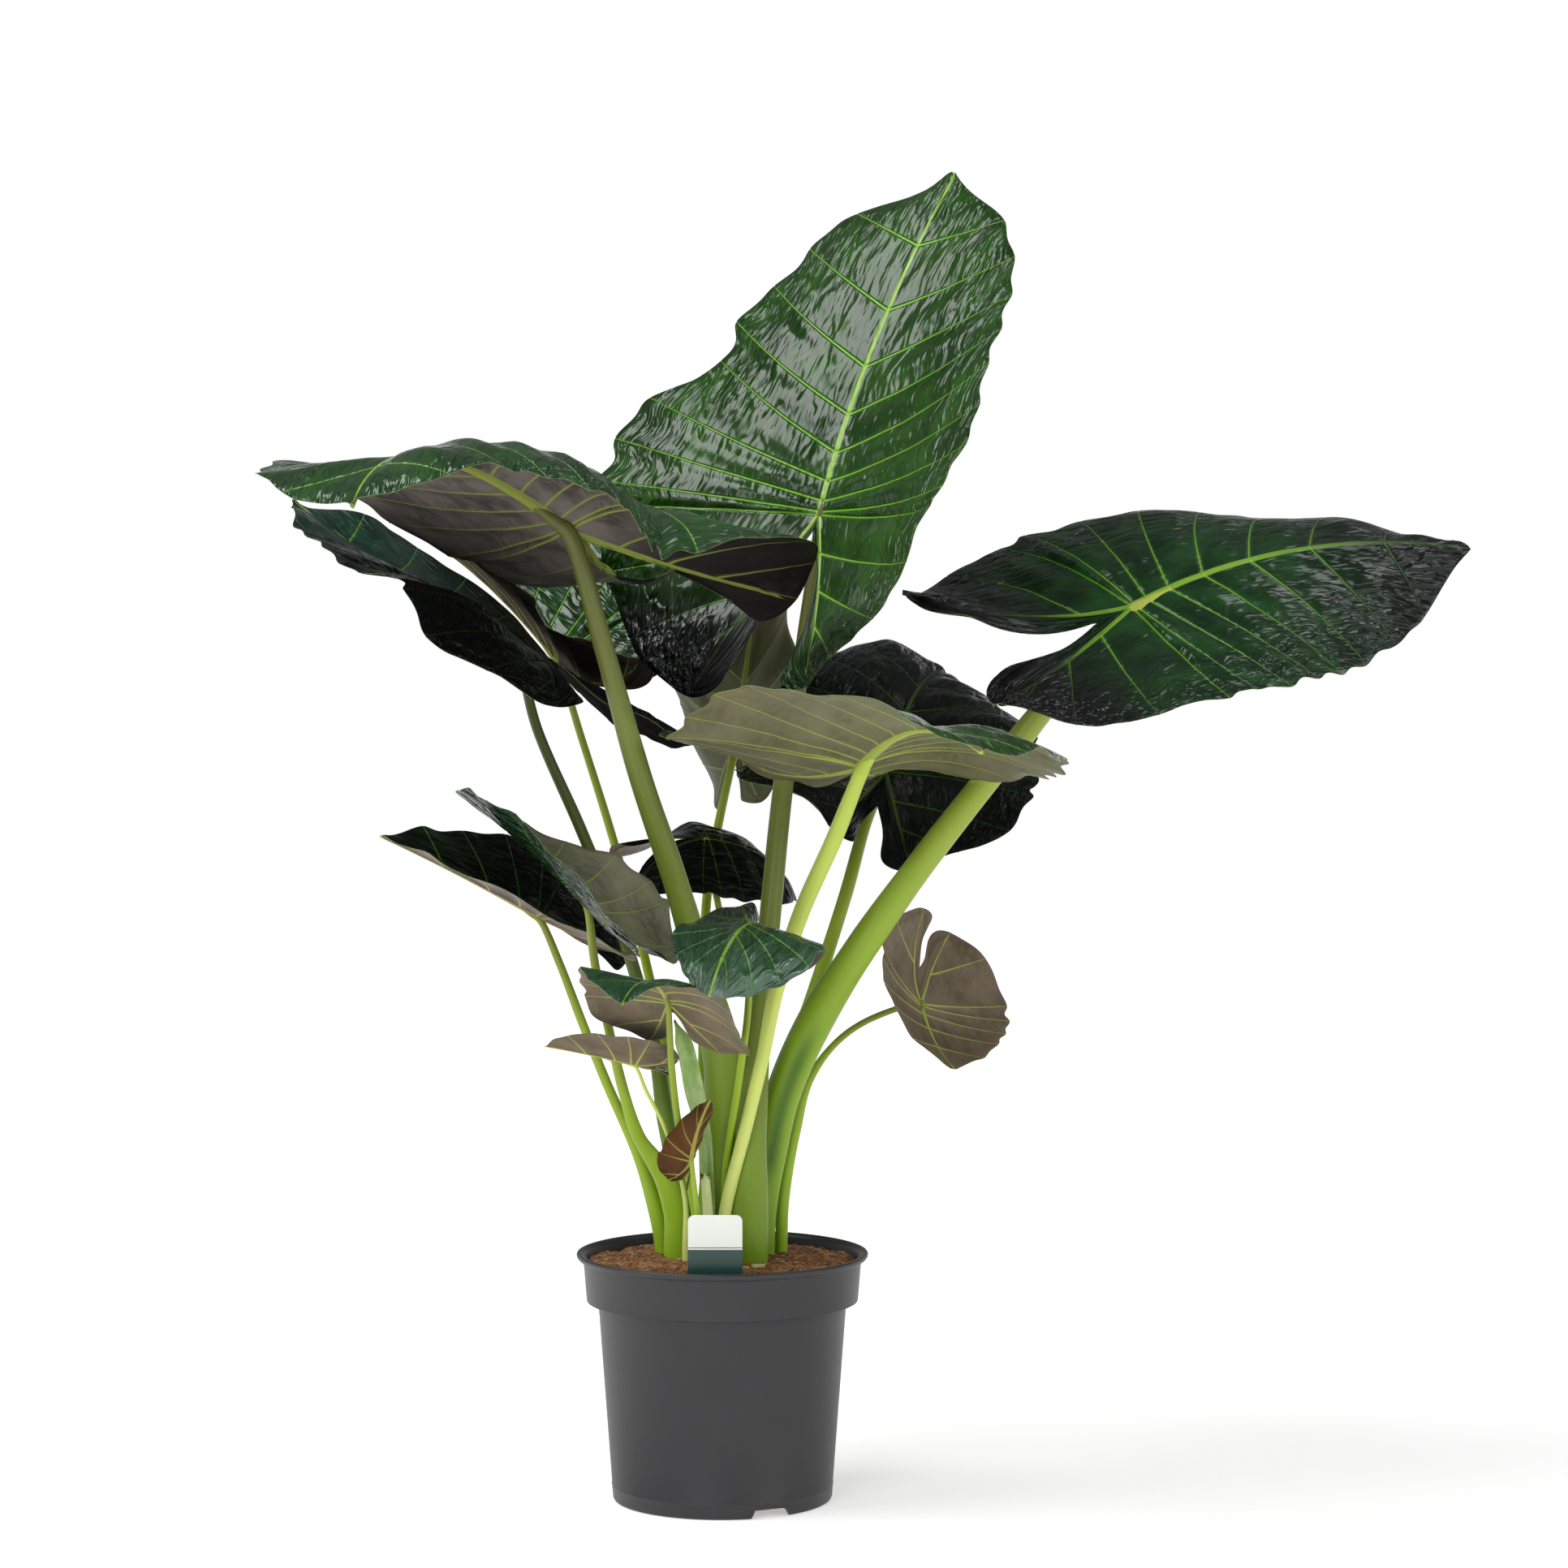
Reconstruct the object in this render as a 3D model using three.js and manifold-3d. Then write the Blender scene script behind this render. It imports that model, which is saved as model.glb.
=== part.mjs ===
// A potted alocasia with sixteen arrow-shaped leaves, in millimetres.
// The origin is the middle of the pot's foot, +Z points up and -Y is the side that the label faces.

import * as THREE from "three";
import { mergeVertices } from "three/addons/utils/BufferGeometryUtils.js";
import Module from "manifold-3d";

const wasm = await Module();
wasm.setup();

// Room left between neighbours that touch
const clearance = 0.4;

// Pot: thin moulded plastic with a stacking band under its rolled lip
const potHeight = 229;
const potFootRadius = 101.5;
const potWaistRadius = 114.8;
const potBandHeight = 45;
const potBandLowRadius = 125.6;
const potBandHighRadius = 128.5;
const potLipRadius = 135;
const potLipHeight = 8;
const potLipRoll = 4;
const potWall = 2.2;
const potFloorHeight = 7.5;
const potFloorLift = 5;
const potCentreDiscRadius = 30;
const potSides = 36;
const footNotchCount = 3;
const footNotchAngle = 27;
const footNotchTopWidth = 32;
const footNotchFootWidth = 40;
const footNotchHeight = 9;
const footNotchInset = 12;
const footNotchReach = 20;
const drainHoleCount = 4;
const drainHoleRadius = 6;
const drainCircleRadius = 66;
const drainHoleTurn = 45;

// Soil: coir fibre, mounded a little towards the stalks
const soilEdgeHeight = 218.5;
const soilMoundHeight = 6;
const soilBumpHeight = 1.6;
const soilBumpPitch = 12;
const soilLumpPitch = 5;
const soilRingShares = [0.2, 0.4, 0.6, 0.8, 1];

// Rootstock: the thick rhizome under the soil that every stalk grows from
const rootstockCentre = [-4, 2, 150];
const rootstockRadii = [58, 58, 32];

// Plant label: a flat card with rounded top corners and a pointed foot in the soil
const labelWidth = 49;
const labelTop = 279;
const labelShoulder = 196;
const labelPoint = 150;
const labelThickness = 0.9;
const labelCorner = 6;
const labelCentre = [-5, -108];

// Leaf blades
const bladeThickness = 1.2;
const ribDepthShare = 0.012;
const ribHalfWidthShare = 0.02;
const posteriorRib = [0.84, 0.32];
const ribTipTaper = 0.8;
const spineStep = 0.04;
const lobeBlendShare = 0.15;
const usualNotch = 0.2;

// Half of the blade's outline from the tip round the lobe to the notch. The first number runs along
// the blade (positive in blade lengths, negative in lobe lengths), the second across it in half widths.
const halfOutline = [
  [1, 0],
  [0.965, 0.06],
  [0.9, 0.24],
  [0.8, 0.43],
  [0.7, 0.56],
  [0.5, 0.76],
  [0.3, 0.9],
  [0.1, 0.98],
  [-0.2, 1],
  [-0.5, 0.93],
  [-0.78, 0.76],
  [-0.94, 0.54],
  [-1, 0.36],
  [-0.95, 0.2],
];
const lobeEndTurn = 11.8;
const lastTurn = 16;

// Each leaf has its hub, where the stalk meets the blade, and the pose of its blade:
// heading is the compass angle of the tip from +X, rise lifts the tip, roll turns the blade about its
// midrib, and all angles are in degrees. Each half then has its own fold and curl.
const leaves = [
  {
    name: "leaf_01",
    hub: [90, 60, 910],
    heading: 45,
    rise: 70,
    roll: 0,
    length: 370,
    halfWidth: 0.6,
    lobe: 0.52,
    droop: 15,
    sweep: 5,
    twist: 0,
    left: { lobeDroop: -15, fold: 30, tipFold: -35, lobeFold: -25, curl: -10 },
    right: { lobeDroop: -15, fold: 5, tipFold: -20, lobeFold: 5, curl: 25 },
    veins: 7,
    stalk: [
      [25, -36, 224, 17.5],
      [25, -35, 274, 17.5],
      [27, -32, 350, 14.5],
      [34, -22, 433, 11],
      [44, -4, 538, 10],
      [57, 22, 665, 9.5],
      [76, 54, 790, 8],
    ],
    sheath: 0.6,
  },
  {
    name: "leaf_02",
    hub: [-135, -110, 895],
    heading: -150,
    rise: 35,
    roll: 40,
    length: 370,
    halfWidth: 0.56,
    lobe: 0.56,
    droop: 85,
    sweep: -20,
    twist: 0,
    left: { lobeDroop: 5, fold: -5, tipFold: 5, lobeFold: 40, curl: -85 },
    right: { lobeDroop: -55, fold: 25, tipFold: -15, lobeFold: 0, curl: 15 },
    veins: 7,
    stalk: [
      [-4, -14, 225, 17],
      [-3, -14, 278, 19],
      [2, -14, 345, 20],
      [0, -18, 413, 18],
      [-22, -34, 505, 13],
      [-43, -52, 580, 11.5],
      [-72, -76, 670, 10.5],
      [-104, -100, 788, 9],
    ],
    sheath: 0.5,
  },
  {
    name: "leaf_03",
    hub: [375, -20, 825],
    heading: 25,
    rise: 25,
    roll: 15,
    length: 365,
    halfWidth: 0.48,
    lobe: 0.54,
    droop: 30,
    sweep: 15,
    twist: 5,
    left: { lobeDroop: -40, fold: 25, tipFold: -35, lobeFold: -10, curl: -30 },
    right: { lobeDroop: -15, fold: -15, tipFold: -50, lobeFold: 0, curl: 10 },
    veins: 7,
    stalk: [
      [31, 16, 215, 17],
      [32, 16, 262, 18],
      [42, 12, 314, 16.5],
      [56, 6, 375, 16.5],
      [85, -4, 442, 17],
      [127, -6, 510, 15],
      [187, 4, 593, 13],
      [261, 14, 686, 12],
      [322, 4, 762, 10],
    ],
    sheath: 0.6,
  },
  {
    name: "leaf_04",
    hub: [125, -150, 685],
    heading: -75,
    rise: 20,
    roll: 5,
    length: 340,
    halfWidth: 0.52,
    lobe: 0.48,
    droop: 35,
    droopPower: 1.2,
    sweep: 0,
    twist: -10,
    left: { lobeDroop: -15, fold: 20, tipFold: -20, lobeFold: 0, curl: -55 },
    right: { lobeDroop: -15, fold: 20, tipFold: 0, lobeFold: 20, curl: -10 },
    veins: 7,
    stalk: [
      [0, -40, 228, 5.5],
      [3, -42, 271, 5.8],
      [23, -52, 354, 6],
      [38, -62, 418, 6.2],
      [49, -74, 474, 6.8],
      [71, -96, 547, 7.5],
      [103, -124, 622, 7.5],
    ],
    stalkColour: "paleStalk",
  },
  {
    name: "leaf_05",
    hub: [-19, 150, 602],
    heading: 15,
    rise: -5,
    roll: 30,
    length: 135,
    halfWidth: 0.5,
    lobe: 0.68,
    droop: 65,
    sweep: -10,
    twist: 15,
    left: { lobeDroop: 10, fold: -15, tipFold: -5, lobeFold: -25, curl: -10 },
    right: { lobeDroop: 65, fold: -10, tipFold: 0, lobeFold: 10, curl: -20 },
    veins: 5,
    stalk: [
      [-5, 58, 218, 6],
      [-6, 72, 288, 5],
      [-4, 100, 400, 4],
      [-4, 130, 530, 3.2],
    ],
  },
  {
    name: "leaf_06",
    hub: [-162, 240, 768],
    heading: 135,
    rise: 40,
    roll: 5,
    length: 290,
    halfWidth: 0.4,
    lobe: 0.58,
    droop: 25,
    sweep: 15,
    twist: -10,
    left: { lobeDroop: -60, fold: 45, tipFold: -20, lobeFold: -15, curl: -10 },
    right: { lobeDroop: -70, fold: 60, tipFold: 20, lobeFold: 0, curl: -10 },
    veins: 7,
    stalk: [
      [-33, 44, 217, 7],
      [-40, 50, 299, 6],
      [-58, 100, 412, 5],
      [-80, 148, 505, 4.4],
      [-108, 190, 600, 4],
      [-140, 224, 697, 3.6],
    ],
  },
  {
    name: "leaf_07",
    hub: [-190, 20, 790],
    heading: 140,
    rise: 20,
    roll: 35,
    length: 305,
    halfWidth: 0.62,
    lobe: 0.5,
    droop: -5,
    sweep: -15,
    twist: 5,
    left: { lobeDroop: 20, fold: 0, tipFold: -20, lobeFold: -15, curl: -30 },
    right: { lobeDroop: 10, fold: 15, tipFold: 35, lobeFold: 5, curl: -15 },
    veins: 7,
    stalk: [
      [-31, 22, 219, 9],
      [-40, 20, 288, 9.5],
      [-53, 18, 349, 8],
      [-63, 40, 410, 7],
      [-93, 64, 515, 6],
      [-132, 70, 613, 5.4],
      [-173, 52, 711, 4.8],
    ],
  },
  {
    name: "leaf_08",
    hub: [26, -185, 548],
    heading: -105,
    rise: 0,
    roll: 15,
    length: 135,
    halfWidth: 0.5,
    lobe: 0.68,
    droop: 45,
    sweep: 15,
    twist: -5,
    left: { lobeDroop: 55, fold: -30, tipFold: -90, lobeFold: 15, curl: -15 },
    right: { lobeDroop: -15, fold: 5, tipFold: -55, lobeFold: 0, curl: 15 },
    veins: 5,
    stalk: [
      [4, -29, 227, 4],
      [3, -33, 303, 3.6],
      [16, -72, 396, 3.4],
      [25, -130, 470, 3.2],
    ],
  },
  {
    name: "leaf_09",
    hub: [185, 56, 453],
    heading: 100,
    rise: -140,
    roll: -35,
    length: 105,
    halfWidth: 0.82,
    lobe: 0.9,
    notch: 0.45,
    droop: 25,
    sweep: 0,
    twist: 10,
    left: { lobeDroop: 40, fold: -10, tipFold: 5, lobeFold: 5, curl: -25 },
    right: { lobeDroop: 10, fold: -15, tipFold: 0, lobeFold: -10, curl: -15 },
    veins: 5,
    stalk: [
      [54, 30, 214, 5.5],
      [56, 30, 272, 6],
      [67, 32, 336, 5.5],
      [81, 34, 385, 4],
      [105, 40, 418, 3.2],
      [136, 48, 439, 3],
    ],
  },
  {
    name: "leaf_10",
    hub: [-125, -60, 555],
    heading: 135,
    rise: 35,
    roll: -130,
    length: 195,
    halfWidth: 0.5,
    lobe: 0.5,
    droop: -10,
    sweep: -5,
    twist: 0,
    left: { lobeDroop: 35, fold: -25, tipFold: 5, lobeFold: 20, curl: -60 },
    right: { lobeDroop: 10, fold: 15, tipFold: 0, lobeFold: 0, curl: -15 },
    veins: 5,
    stalk: [
      [-41, 0, 221, 13],
      [-42, -4, 269, 13],
      [-58, -12, 308, 9],
      [-77, -20, 339, 6.2],
      [-90, -30, 381, 5],
      [-102, -40, 435, 4.3],
      [-115, -52, 500, 4],
    ],
    sheath: 0.6,
  },
  {
    name: "leaf_11",
    hub: [-169, 40, 535],
    heading: 195,
    rise: 30,
    roll: -5,
    length: 170,
    halfWidth: 0.54,
    lobe: 0.54,
    droop: 5,
    sweep: 0,
    twist: 10,
    left: { lobeDroop: -5, fold: 15, tipFold: -15, lobeFold: 5, curl: -15 },
    right: { lobeDroop: 25, fold: 40, tipFold: -5, lobeFold: -5, curl: 0 },
    veins: 5,
    stalk: [
      [-54, 26, 218, 8],
      [-60, 24, 257, 8],
      [-80, 26, 319, 5.4],
      [-107, 28, 380, 4.6],
      [-130, 30, 437, 4.2],
      [-152, 34, 494, 3.7],
    ],
  },
  {
    name: "leaf_12",
    hub: [-46, -150, 475],
    heading: -105,
    rise: 40,
    roll: 5,
    length: 130,
    halfWidth: 0.64,
    lobe: 0.58,
    droop: 70,
    sweep: 15,
    twist: 0,
    left: { lobeDroop: 0, fold: -5, tipFold: 15, lobeFold: 10, curl: -55 },
    right: { lobeDroop: -10, fold: 15, tipFold: 10, lobeFold: -5, curl: -5 },
    veins: 5,
    stalk: [
      [-20, -38, 226, 4.5],
      [-25, -44, 274, 3.6],
      [-32, -54, 313, 3.3],
      [-39, -67, 356, 3.2],
      [-44, -111, 415, 3.1],
    ],
  },
  {
    name: "leaf_13",
    hub: [-77, -88, 412],
    heading: 185,
    rise: 15,
    roll: 5,
    length: 85,
    halfWidth: 0.52,
    lobe: 0.46,
    droop: 5,
    sweep: 20,
    twist: 0,
    left: { lobeDroop: -20, fold: 35, tipFold: 0, lobeFold: 5, curl: -5 },
    right: { lobeDroop: 10, fold: 10, tipFold: 0, lobeFold: 5, curl: -25 },
    veins: 4,
    stalk: [
      [-33, -34, 225, 3.4],
      [-33, -42, 281, 2.6],
      [-40, -52, 316, 2.2],
      [-53, -64, 356, 1.9],
      [-68, -78, 388, 1.7],
    ],
  },
  {
    name: "leaf_14",
    hub: [-27, -90, 325],
    heading: 120,
    rise: 105,
    roll: 175,
    length: 65,
    halfWidth: 0.5,
    lobe: 0.52,
    droop: 20,
    sweep: -10,
    twist: -20,
    left: { lobeDroop: -5, fold: 55, tipFold: -5, lobeFold: 0, curl: 5 },
    right: { lobeDroop: -55, fold: 55, tipFold: 40, lobeFold: -20, curl: 0 },
    veins: 4,
    stalk: [
      [-17, -86, 226, 3.4],
      [-21, -92, 276, 2.6],
    ],
  },
  {
    name: "leaf_15",
    hub: [155, 170, 665],
    heading: 70,
    rise: 50,
    roll: 15,
    length: 290,
    halfWidth: 0.5,
    lobe: 0.46,
    notch: 0.3,
    droop: 65,
    sweep: 10,
    twist: 5,
    left: { lobeDroop: -20, fold: 25, tipFold: 0, lobeFold: 55, curl: -75 },
    right: { lobeDroop: -10, fold: 20, tipFold: -30, lobeFold: 10, curl: -25 },
    veins: 7,
    stalk: [
      [30, 40, 217, 8],
      [41, 58, 299, 7.5],
      [64, 84, 397, 7],
      [87, 110, 463, 7],
      [116, 142, 550, 6.4],
      [137, 170, 621, 5.8],
    ],
  },
  {
    name: "leaf_16",
    hub: [11, 280, 690],
    heading: -80,
    rise: 55,
    roll: -10,
    length: 225,
    halfWidth: 0.4,
    lobe: 0.46,
    droop: 5,
    sweep: 0,
    twist: 25,
    left: { lobeDroop: -20, fold: 40, tipFold: -5, lobeFold: 0, curl: 15 },
    right: { lobeDroop: 5, fold: 40, tipFold: -35, lobeFold: 20, curl: 10 },
    veins: 5,
    stalk: [
      [-14, 40, 220, 6],
      [-18, 70, 327, 5.4],
      [-20, 160, 439, 5],
      [-18, 234, 541, 4.6],
      [-9, 256, 600, 4.3],
      [5, 270, 665, 4],
    ],
  },
];

// Relief of a blade, in blade lengths: its waved margin, the bulges between its side veins and the
// shallow bays in its outline
const edgeWaveShare = 0.012;
const edgeWaveTurn = 2.4;
const quiltShare = 0.006;
const quiltReach = 1.1;
const scallopShare = 0.02;
const smoothTurnsAtLobeEnd = 3;

// Side veins leave the midrib closer together near the hub and meet the margin a little further back
const veinCrowding = 1.7;
const veinMarginSpan = 1.1;
const veinMarginLag = 0.1;

// Where a row of points across half a blade has them
const ribFootLimits = [0.05, 0.35];
const middleShare = 0.55;
const fewestVeinsWithRibFoot = 5;

// Stalks
const stalkSides = 8;
const stalkFootHeight = 150;
const stalkFootPull = 0.85;
const stalkFootTaper = 0.7;
const smallStalkRadius = 4;
const hubReach = 12;
const roundFrom = 0.1;
const roundTo = 0.6;

// Dried sheath beside the stalks: where its middle runs, and half its width
const driedSheathRoute = [
  [-9, -30, 200, 4],
  [-12, -31, 290, 5.5],
  [-17, -32, 345, 7],
  [-25, -34, 383, 9],
  [-34, -37, 425, 8],
  [-43, -40, 448, 1],
];
const driedSheathThickness = 1;
const driedSheathFold = 4;

// Stub of a stalk that was cut off
const stubRoute = [
  [-11, -50, 200, 5],
  [-11, -50, 250, 4.8],
  [-13, -51, 280, 4.6],
  [-15, -52, 306, 4.4],
];
const stubTear = 4;
const stubSides = 8;

// Pale chips of cut stalk that lie on the soil
const chips = [
  { centre: [34, -50], length: 15, width: 6, height: 4, turn: 20 },
  { centre: [22, -58], length: 9, width: 5, height: 3, turn: -35 },
];
const chipSinking = 1.5;

const colours = {
  pot: 0x3b3b3e,
  soil: 0x7a4d32,
  rootstock: 0x6e4a30,
  label: 0xe9ece6,
  blade: 0x2f4a2c,
  stalk: 0x93a552,
  paleStalk: 0xc9d18c,
  driedSheath: 0xd9d3a2,
  chip: 0xe2d9a6,
};

const radians = THREE.MathUtils.degToRad;
const clamp = THREE.MathUtils.clamp;
const lerp = THREE.MathUtils.lerp;

// A mesh geometry from points and triangles of point numbers
function bodyOf(points, faces) {
  const geometry = new THREE.BufferGeometry();
  const numbers = points.flatMap((point) => [point.x, point.y, point.z]);
  geometry.setAttribute("position", new THREE.Float32BufferAttribute(numbers, 3));
  geometry.setIndex(faces.flat());
  return geometry;
}

// A solid from a closed geometry, without its needless points
function solidOf(geometry) {
  const bare = geometry.clone();
  bare.deleteAttribute("normal");
  bare.deleteAttribute("uv");
  const merged = mergeVertices(bare, 1e-3);
  const corners = merged.index.array;
  const kept = [];
  for (let i = 0; i < corners.length; i += 3) {
    const [a, b, c] = [corners[i], corners[i + 1], corners[i + 2]];
    if (a !== b && b !== c && c !== a) kept.push(a, b, c);
  }
  const mesh = new wasm.Mesh({
    numProp: 3,
    vertProperties: new Float32Array(merged.attributes.position.array),
    triVerts: new Uint32Array(kept),
  });
  return new wasm.Manifold(mesh);
}

// The largest of the loose pieces of a solid
function largestPiece(solid) {
  const pieces = solid.decompose();
  pieces.sort((one, other) => other.volume() - one.volume());
  return pieces[0];
}

function geometryOf(solid) {
  const mesh = solid.getMesh();
  const geometry = new THREE.BufferGeometry();
  geometry.setAttribute("position", new THREE.BufferAttribute(mesh.vertProperties, 3));
  geometry.setIndex(new THREE.BufferAttribute(mesh.triVerts, 1));
  return geometry;
}

const part = new THREE.Group();

function addMesh(name, geometry, colour, roughness) {
  geometry.computeVertexNormals();
  const material = new THREE.MeshStandardMaterial({ color: colour, roughness, metalness: 0 });
  const mesh = new THREE.Mesh(geometry, material);
  mesh.name = name;
  part.add(mesh);
}

// Inner radius of the pot at a height, for the soil that fills it
function potInnerRadius(height) {
  const ledge = potHeight - potBandHeight + potWall;
  if (height >= ledge) {
    const share = (height - ledge) / (potHeight - potLipRoll - ledge);
    return lerp(potBandLowRadius, potBandHighRadius, share) - potWall;
  }
  const share = (height - potFloorHeight) / (ledge - potFloorHeight);
  return lerp(potFootRadius, potWaistRadius, share) - potWall;
}

function potSolid() {
  const waist = potHeight - potBandHeight;
  const lipFoot = potHeight - potLipHeight;
  const profile = [
    [0, 0],
    [potCentreDiscRadius, 0],
    [potCentreDiscRadius + 3, potFloorLift],
    [potFootRadius - 6, potFloorLift],
    [potFootRadius - 4, 0],
    [potFootRadius - 1.5, 0],
    [potFootRadius + 0.3, 3],
    [potWaistRadius, waist],
    [potBandLowRadius - 1, waist],
    [potBandLowRadius, waist + 1],
    [potBandHighRadius, lipFoot],
    [potLipRadius - 2, lipFoot + 3],
    [potLipRadius, potHeight - 2],
    [potLipRadius - 0.8, potHeight],
    [potBandHighRadius + 1.5, potHeight],
    [potBandHighRadius - potWall, potHeight - potLipRoll],
    [potBandLowRadius - potWall, waist + potWall],
    [potWaistRadius - potWall, waist + potWall],
    [potFootRadius - potWall, potFloorHeight],
    [0, potFloorHeight],
  ].map(([radius, height]) => new THREE.Vector2(radius, height));
  const lathe = new THREE.LatheGeometry(profile, potSides);
  lathe.rotateX(Math.PI / 2);
  let solid = solidOf(lathe);
  for (let i = 0; i < footNotchCount; i += 1) {
    solid = solid.subtract(footNotch(footNotchAngle + (360 * i) / footNotchCount));
  }
  for (let i = 0; i < drainHoleCount; i += 1) {
    solid = solid.subtract(drainHole(drainHoleTurn + (360 * i) / drainHoleCount));
  }
  return solid;
}

// A slot through the foot ring, wider at its foot; the angle is measured from the front
function footNotch(angle) {
  const shape = new THREE.Shape([
    new THREE.Vector2(-footNotchFootWidth / 2, -1),
    new THREE.Vector2(footNotchFootWidth / 2, -1),
    new THREE.Vector2(footNotchTopWidth / 2, footNotchHeight),
    new THREE.Vector2(-footNotchTopWidth / 2, footNotchHeight),
  ]);
  const geometry = new THREE.ExtrudeGeometry(shape, { depth: footNotchReach, bevelEnabled: false });
  geometry.rotateX(Math.PI / 2);
  geometry.translate(0, footNotchInset - potFootRadius, 0);
  geometry.rotateZ(radians(angle));
  return solidOf(geometry);
}

function drainHole(angle) {
  const geometry = new THREE.CylinderGeometry(drainHoleRadius, drainHoleRadius, 4 * potFloorHeight, 10);
  geometry.rotateX(Math.PI / 2);
  geometry.translate(drainCircleRadius, 0, 0);
  geometry.rotateZ(radians(angle));
  return solidOf(geometry);
}

// Height of the soil's surface at a place
function soilHeight(x, y) {
  const share = Math.hypot(x, y) / potInnerRadius(soilEdgeHeight);
  const bumps = Math.sin(x / soilBumpPitch + 1) * Math.cos(y / soilBumpPitch);
  const lumps = 0.6 * Math.sin((x - y) / soilLumpPitch);
  return soilEdgeHeight + soilMoundHeight * (1 - share * share) + soilBumpHeight * (bumps + lumps);
}

function soilSolid() {
  const points = [new THREE.Vector3(0, 0, soilHeight(0, 0))];
  const rings = [];
  const addRing = (radius, height) => {
    const ring = [];
    for (let i = 0; i < potSides; i += 1) {
      const angle = (i / potSides) * 2 * Math.PI;
      const x = radius * Math.sin(angle);
      const y = radius * Math.cos(angle);
      ring.push(points.length);
      points.push(new THREE.Vector3(x, y, height ?? soilHeight(x, y)));
    }
    rings.push(ring);
  };
  for (const share of soilRingShares) {
    addRing(share * (potInnerRadius(soilEdgeHeight) - clearance));
  }
  const ledge = potHeight - potBandHeight + potWall;
  addRing(potInnerRadius(ledge) - clearance, ledge + clearance);
  addRing(potWaistRadius - potWall - clearance, ledge + clearance);
  addRing(potInnerRadius(potFloorHeight) - clearance, potFloorHeight + clearance);
  const foot = points.length;
  points.push(new THREE.Vector3(0, 0, potFloorHeight + clearance));
  const faces = [];
  const last = rings.length - 1;
  for (let i = 0; i < potSides; i += 1) {
    const next = (i + 1) % potSides;
    faces.push([0, rings[0][next], rings[0][i]]);
    for (let k = 0; k < last; k += 1) {
      faces.push([rings[k][i], rings[k][next], rings[k + 1][next]]);
      faces.push([rings[k][i], rings[k + 1][next], rings[k + 1][i]]);
    }
    faces.push([foot, rings[last][i], rings[last][next]]);
  }
  return solidOf(bodyOf(points, faces));
}

function rootstockSolid(grow) {
  const geometry = new THREE.SphereGeometry(1, 12, 8);
  geometry.rotateX(Math.PI / 2);
  geometry.scale(...rootstockRadii.map((radius) => radius + grow));
  geometry.translate(...rootstockCentre);
  return solidOf(geometry);
}

function labelSolid(grow) {
  const half = labelWidth / 2 + grow;
  const top = labelTop + grow;
  const corner = labelCorner + grow;
  const shape = new THREE.Shape();
  shape.moveTo(0, labelPoint - grow);
  shape.lineTo(half, labelShoulder);
  shape.lineTo(half, top - corner);
  shape.absarc(half - corner, top - corner, corner, 0, Math.PI / 2, false);
  shape.lineTo(corner - half, top);
  shape.absarc(corner - half, top - corner, corner, Math.PI / 2, Math.PI, false);
  shape.lineTo(-half, labelShoulder);
  const depth = labelThickness + 2 * grow;
  const geometry = new THREE.ExtrudeGeometry(shape, { depth, bevelEnabled: false, curveSegments: 3 });
  geometry.rotateX(Math.PI / 2);
  geometry.translate(labelCentre[0], labelCentre[1] + depth / 2, 0);
  return solidOf(geometry);
}

// The blade's own axes at the hub: towards the tip, out of the upper side, and to the right
function hubAxes(leaf) {
  const heading = radians(leaf.heading);
  const rise = radians(leaf.rise);
  const ahead = new THREE.Vector3(
    Math.cos(rise) * Math.cos(heading),
    Math.cos(rise) * Math.sin(heading),
    Math.sin(rise),
  );
  const level = new THREE.Vector3(
    -Math.sin(rise) * Math.cos(heading),
    -Math.sin(rise) * Math.sin(heading),
    Math.cos(rise),
  );
  const up = level.clone().applyAxisAngle(ahead, radians(leaf.roll));
  const right = new THREE.Vector3().crossVectors(ahead, up);
  return { ahead, up, right };
}

// The same axes at a distance along the blade, in blade lengths and negative behind the hub
function axesAlong(leaf, along, lobeDroop) {
  const hub = hubAxes(leaf);
  const tipDroop = leaf.droop * Math.max(0, along) ** (leaf.droopPower ?? 1);
  const bend = radians(along > 0 ? tipDroop : 2 * lobeDroop * along);
  const yaw = radians(leaf.sweep * (along > 0 ? along : 0.3 * along));
  const twist = radians(leaf.twist * along);
  const ahead = hub.ahead.clone().multiplyScalar(Math.cos(yaw)).addScaledVector(hub.right, Math.sin(yaw));
  const right = hub.right.clone().multiplyScalar(Math.cos(yaw)).addScaledVector(hub.ahead, -Math.sin(yaw));
  const tangent = ahead.clone().multiplyScalar(Math.cos(bend)).addScaledVector(hub.up, -Math.sin(bend));
  const up = hub.up.clone().multiplyScalar(Math.cos(bend)).addScaledVector(ahead, Math.sin(bend));
  return {
    tangent,
    up: up.clone().multiplyScalar(Math.cos(twist)).addScaledVector(right, Math.sin(twist)),
    right: right.clone().multiplyScalar(Math.cos(twist)).addScaledVector(up, -Math.sin(twist)),
  };
}

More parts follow.
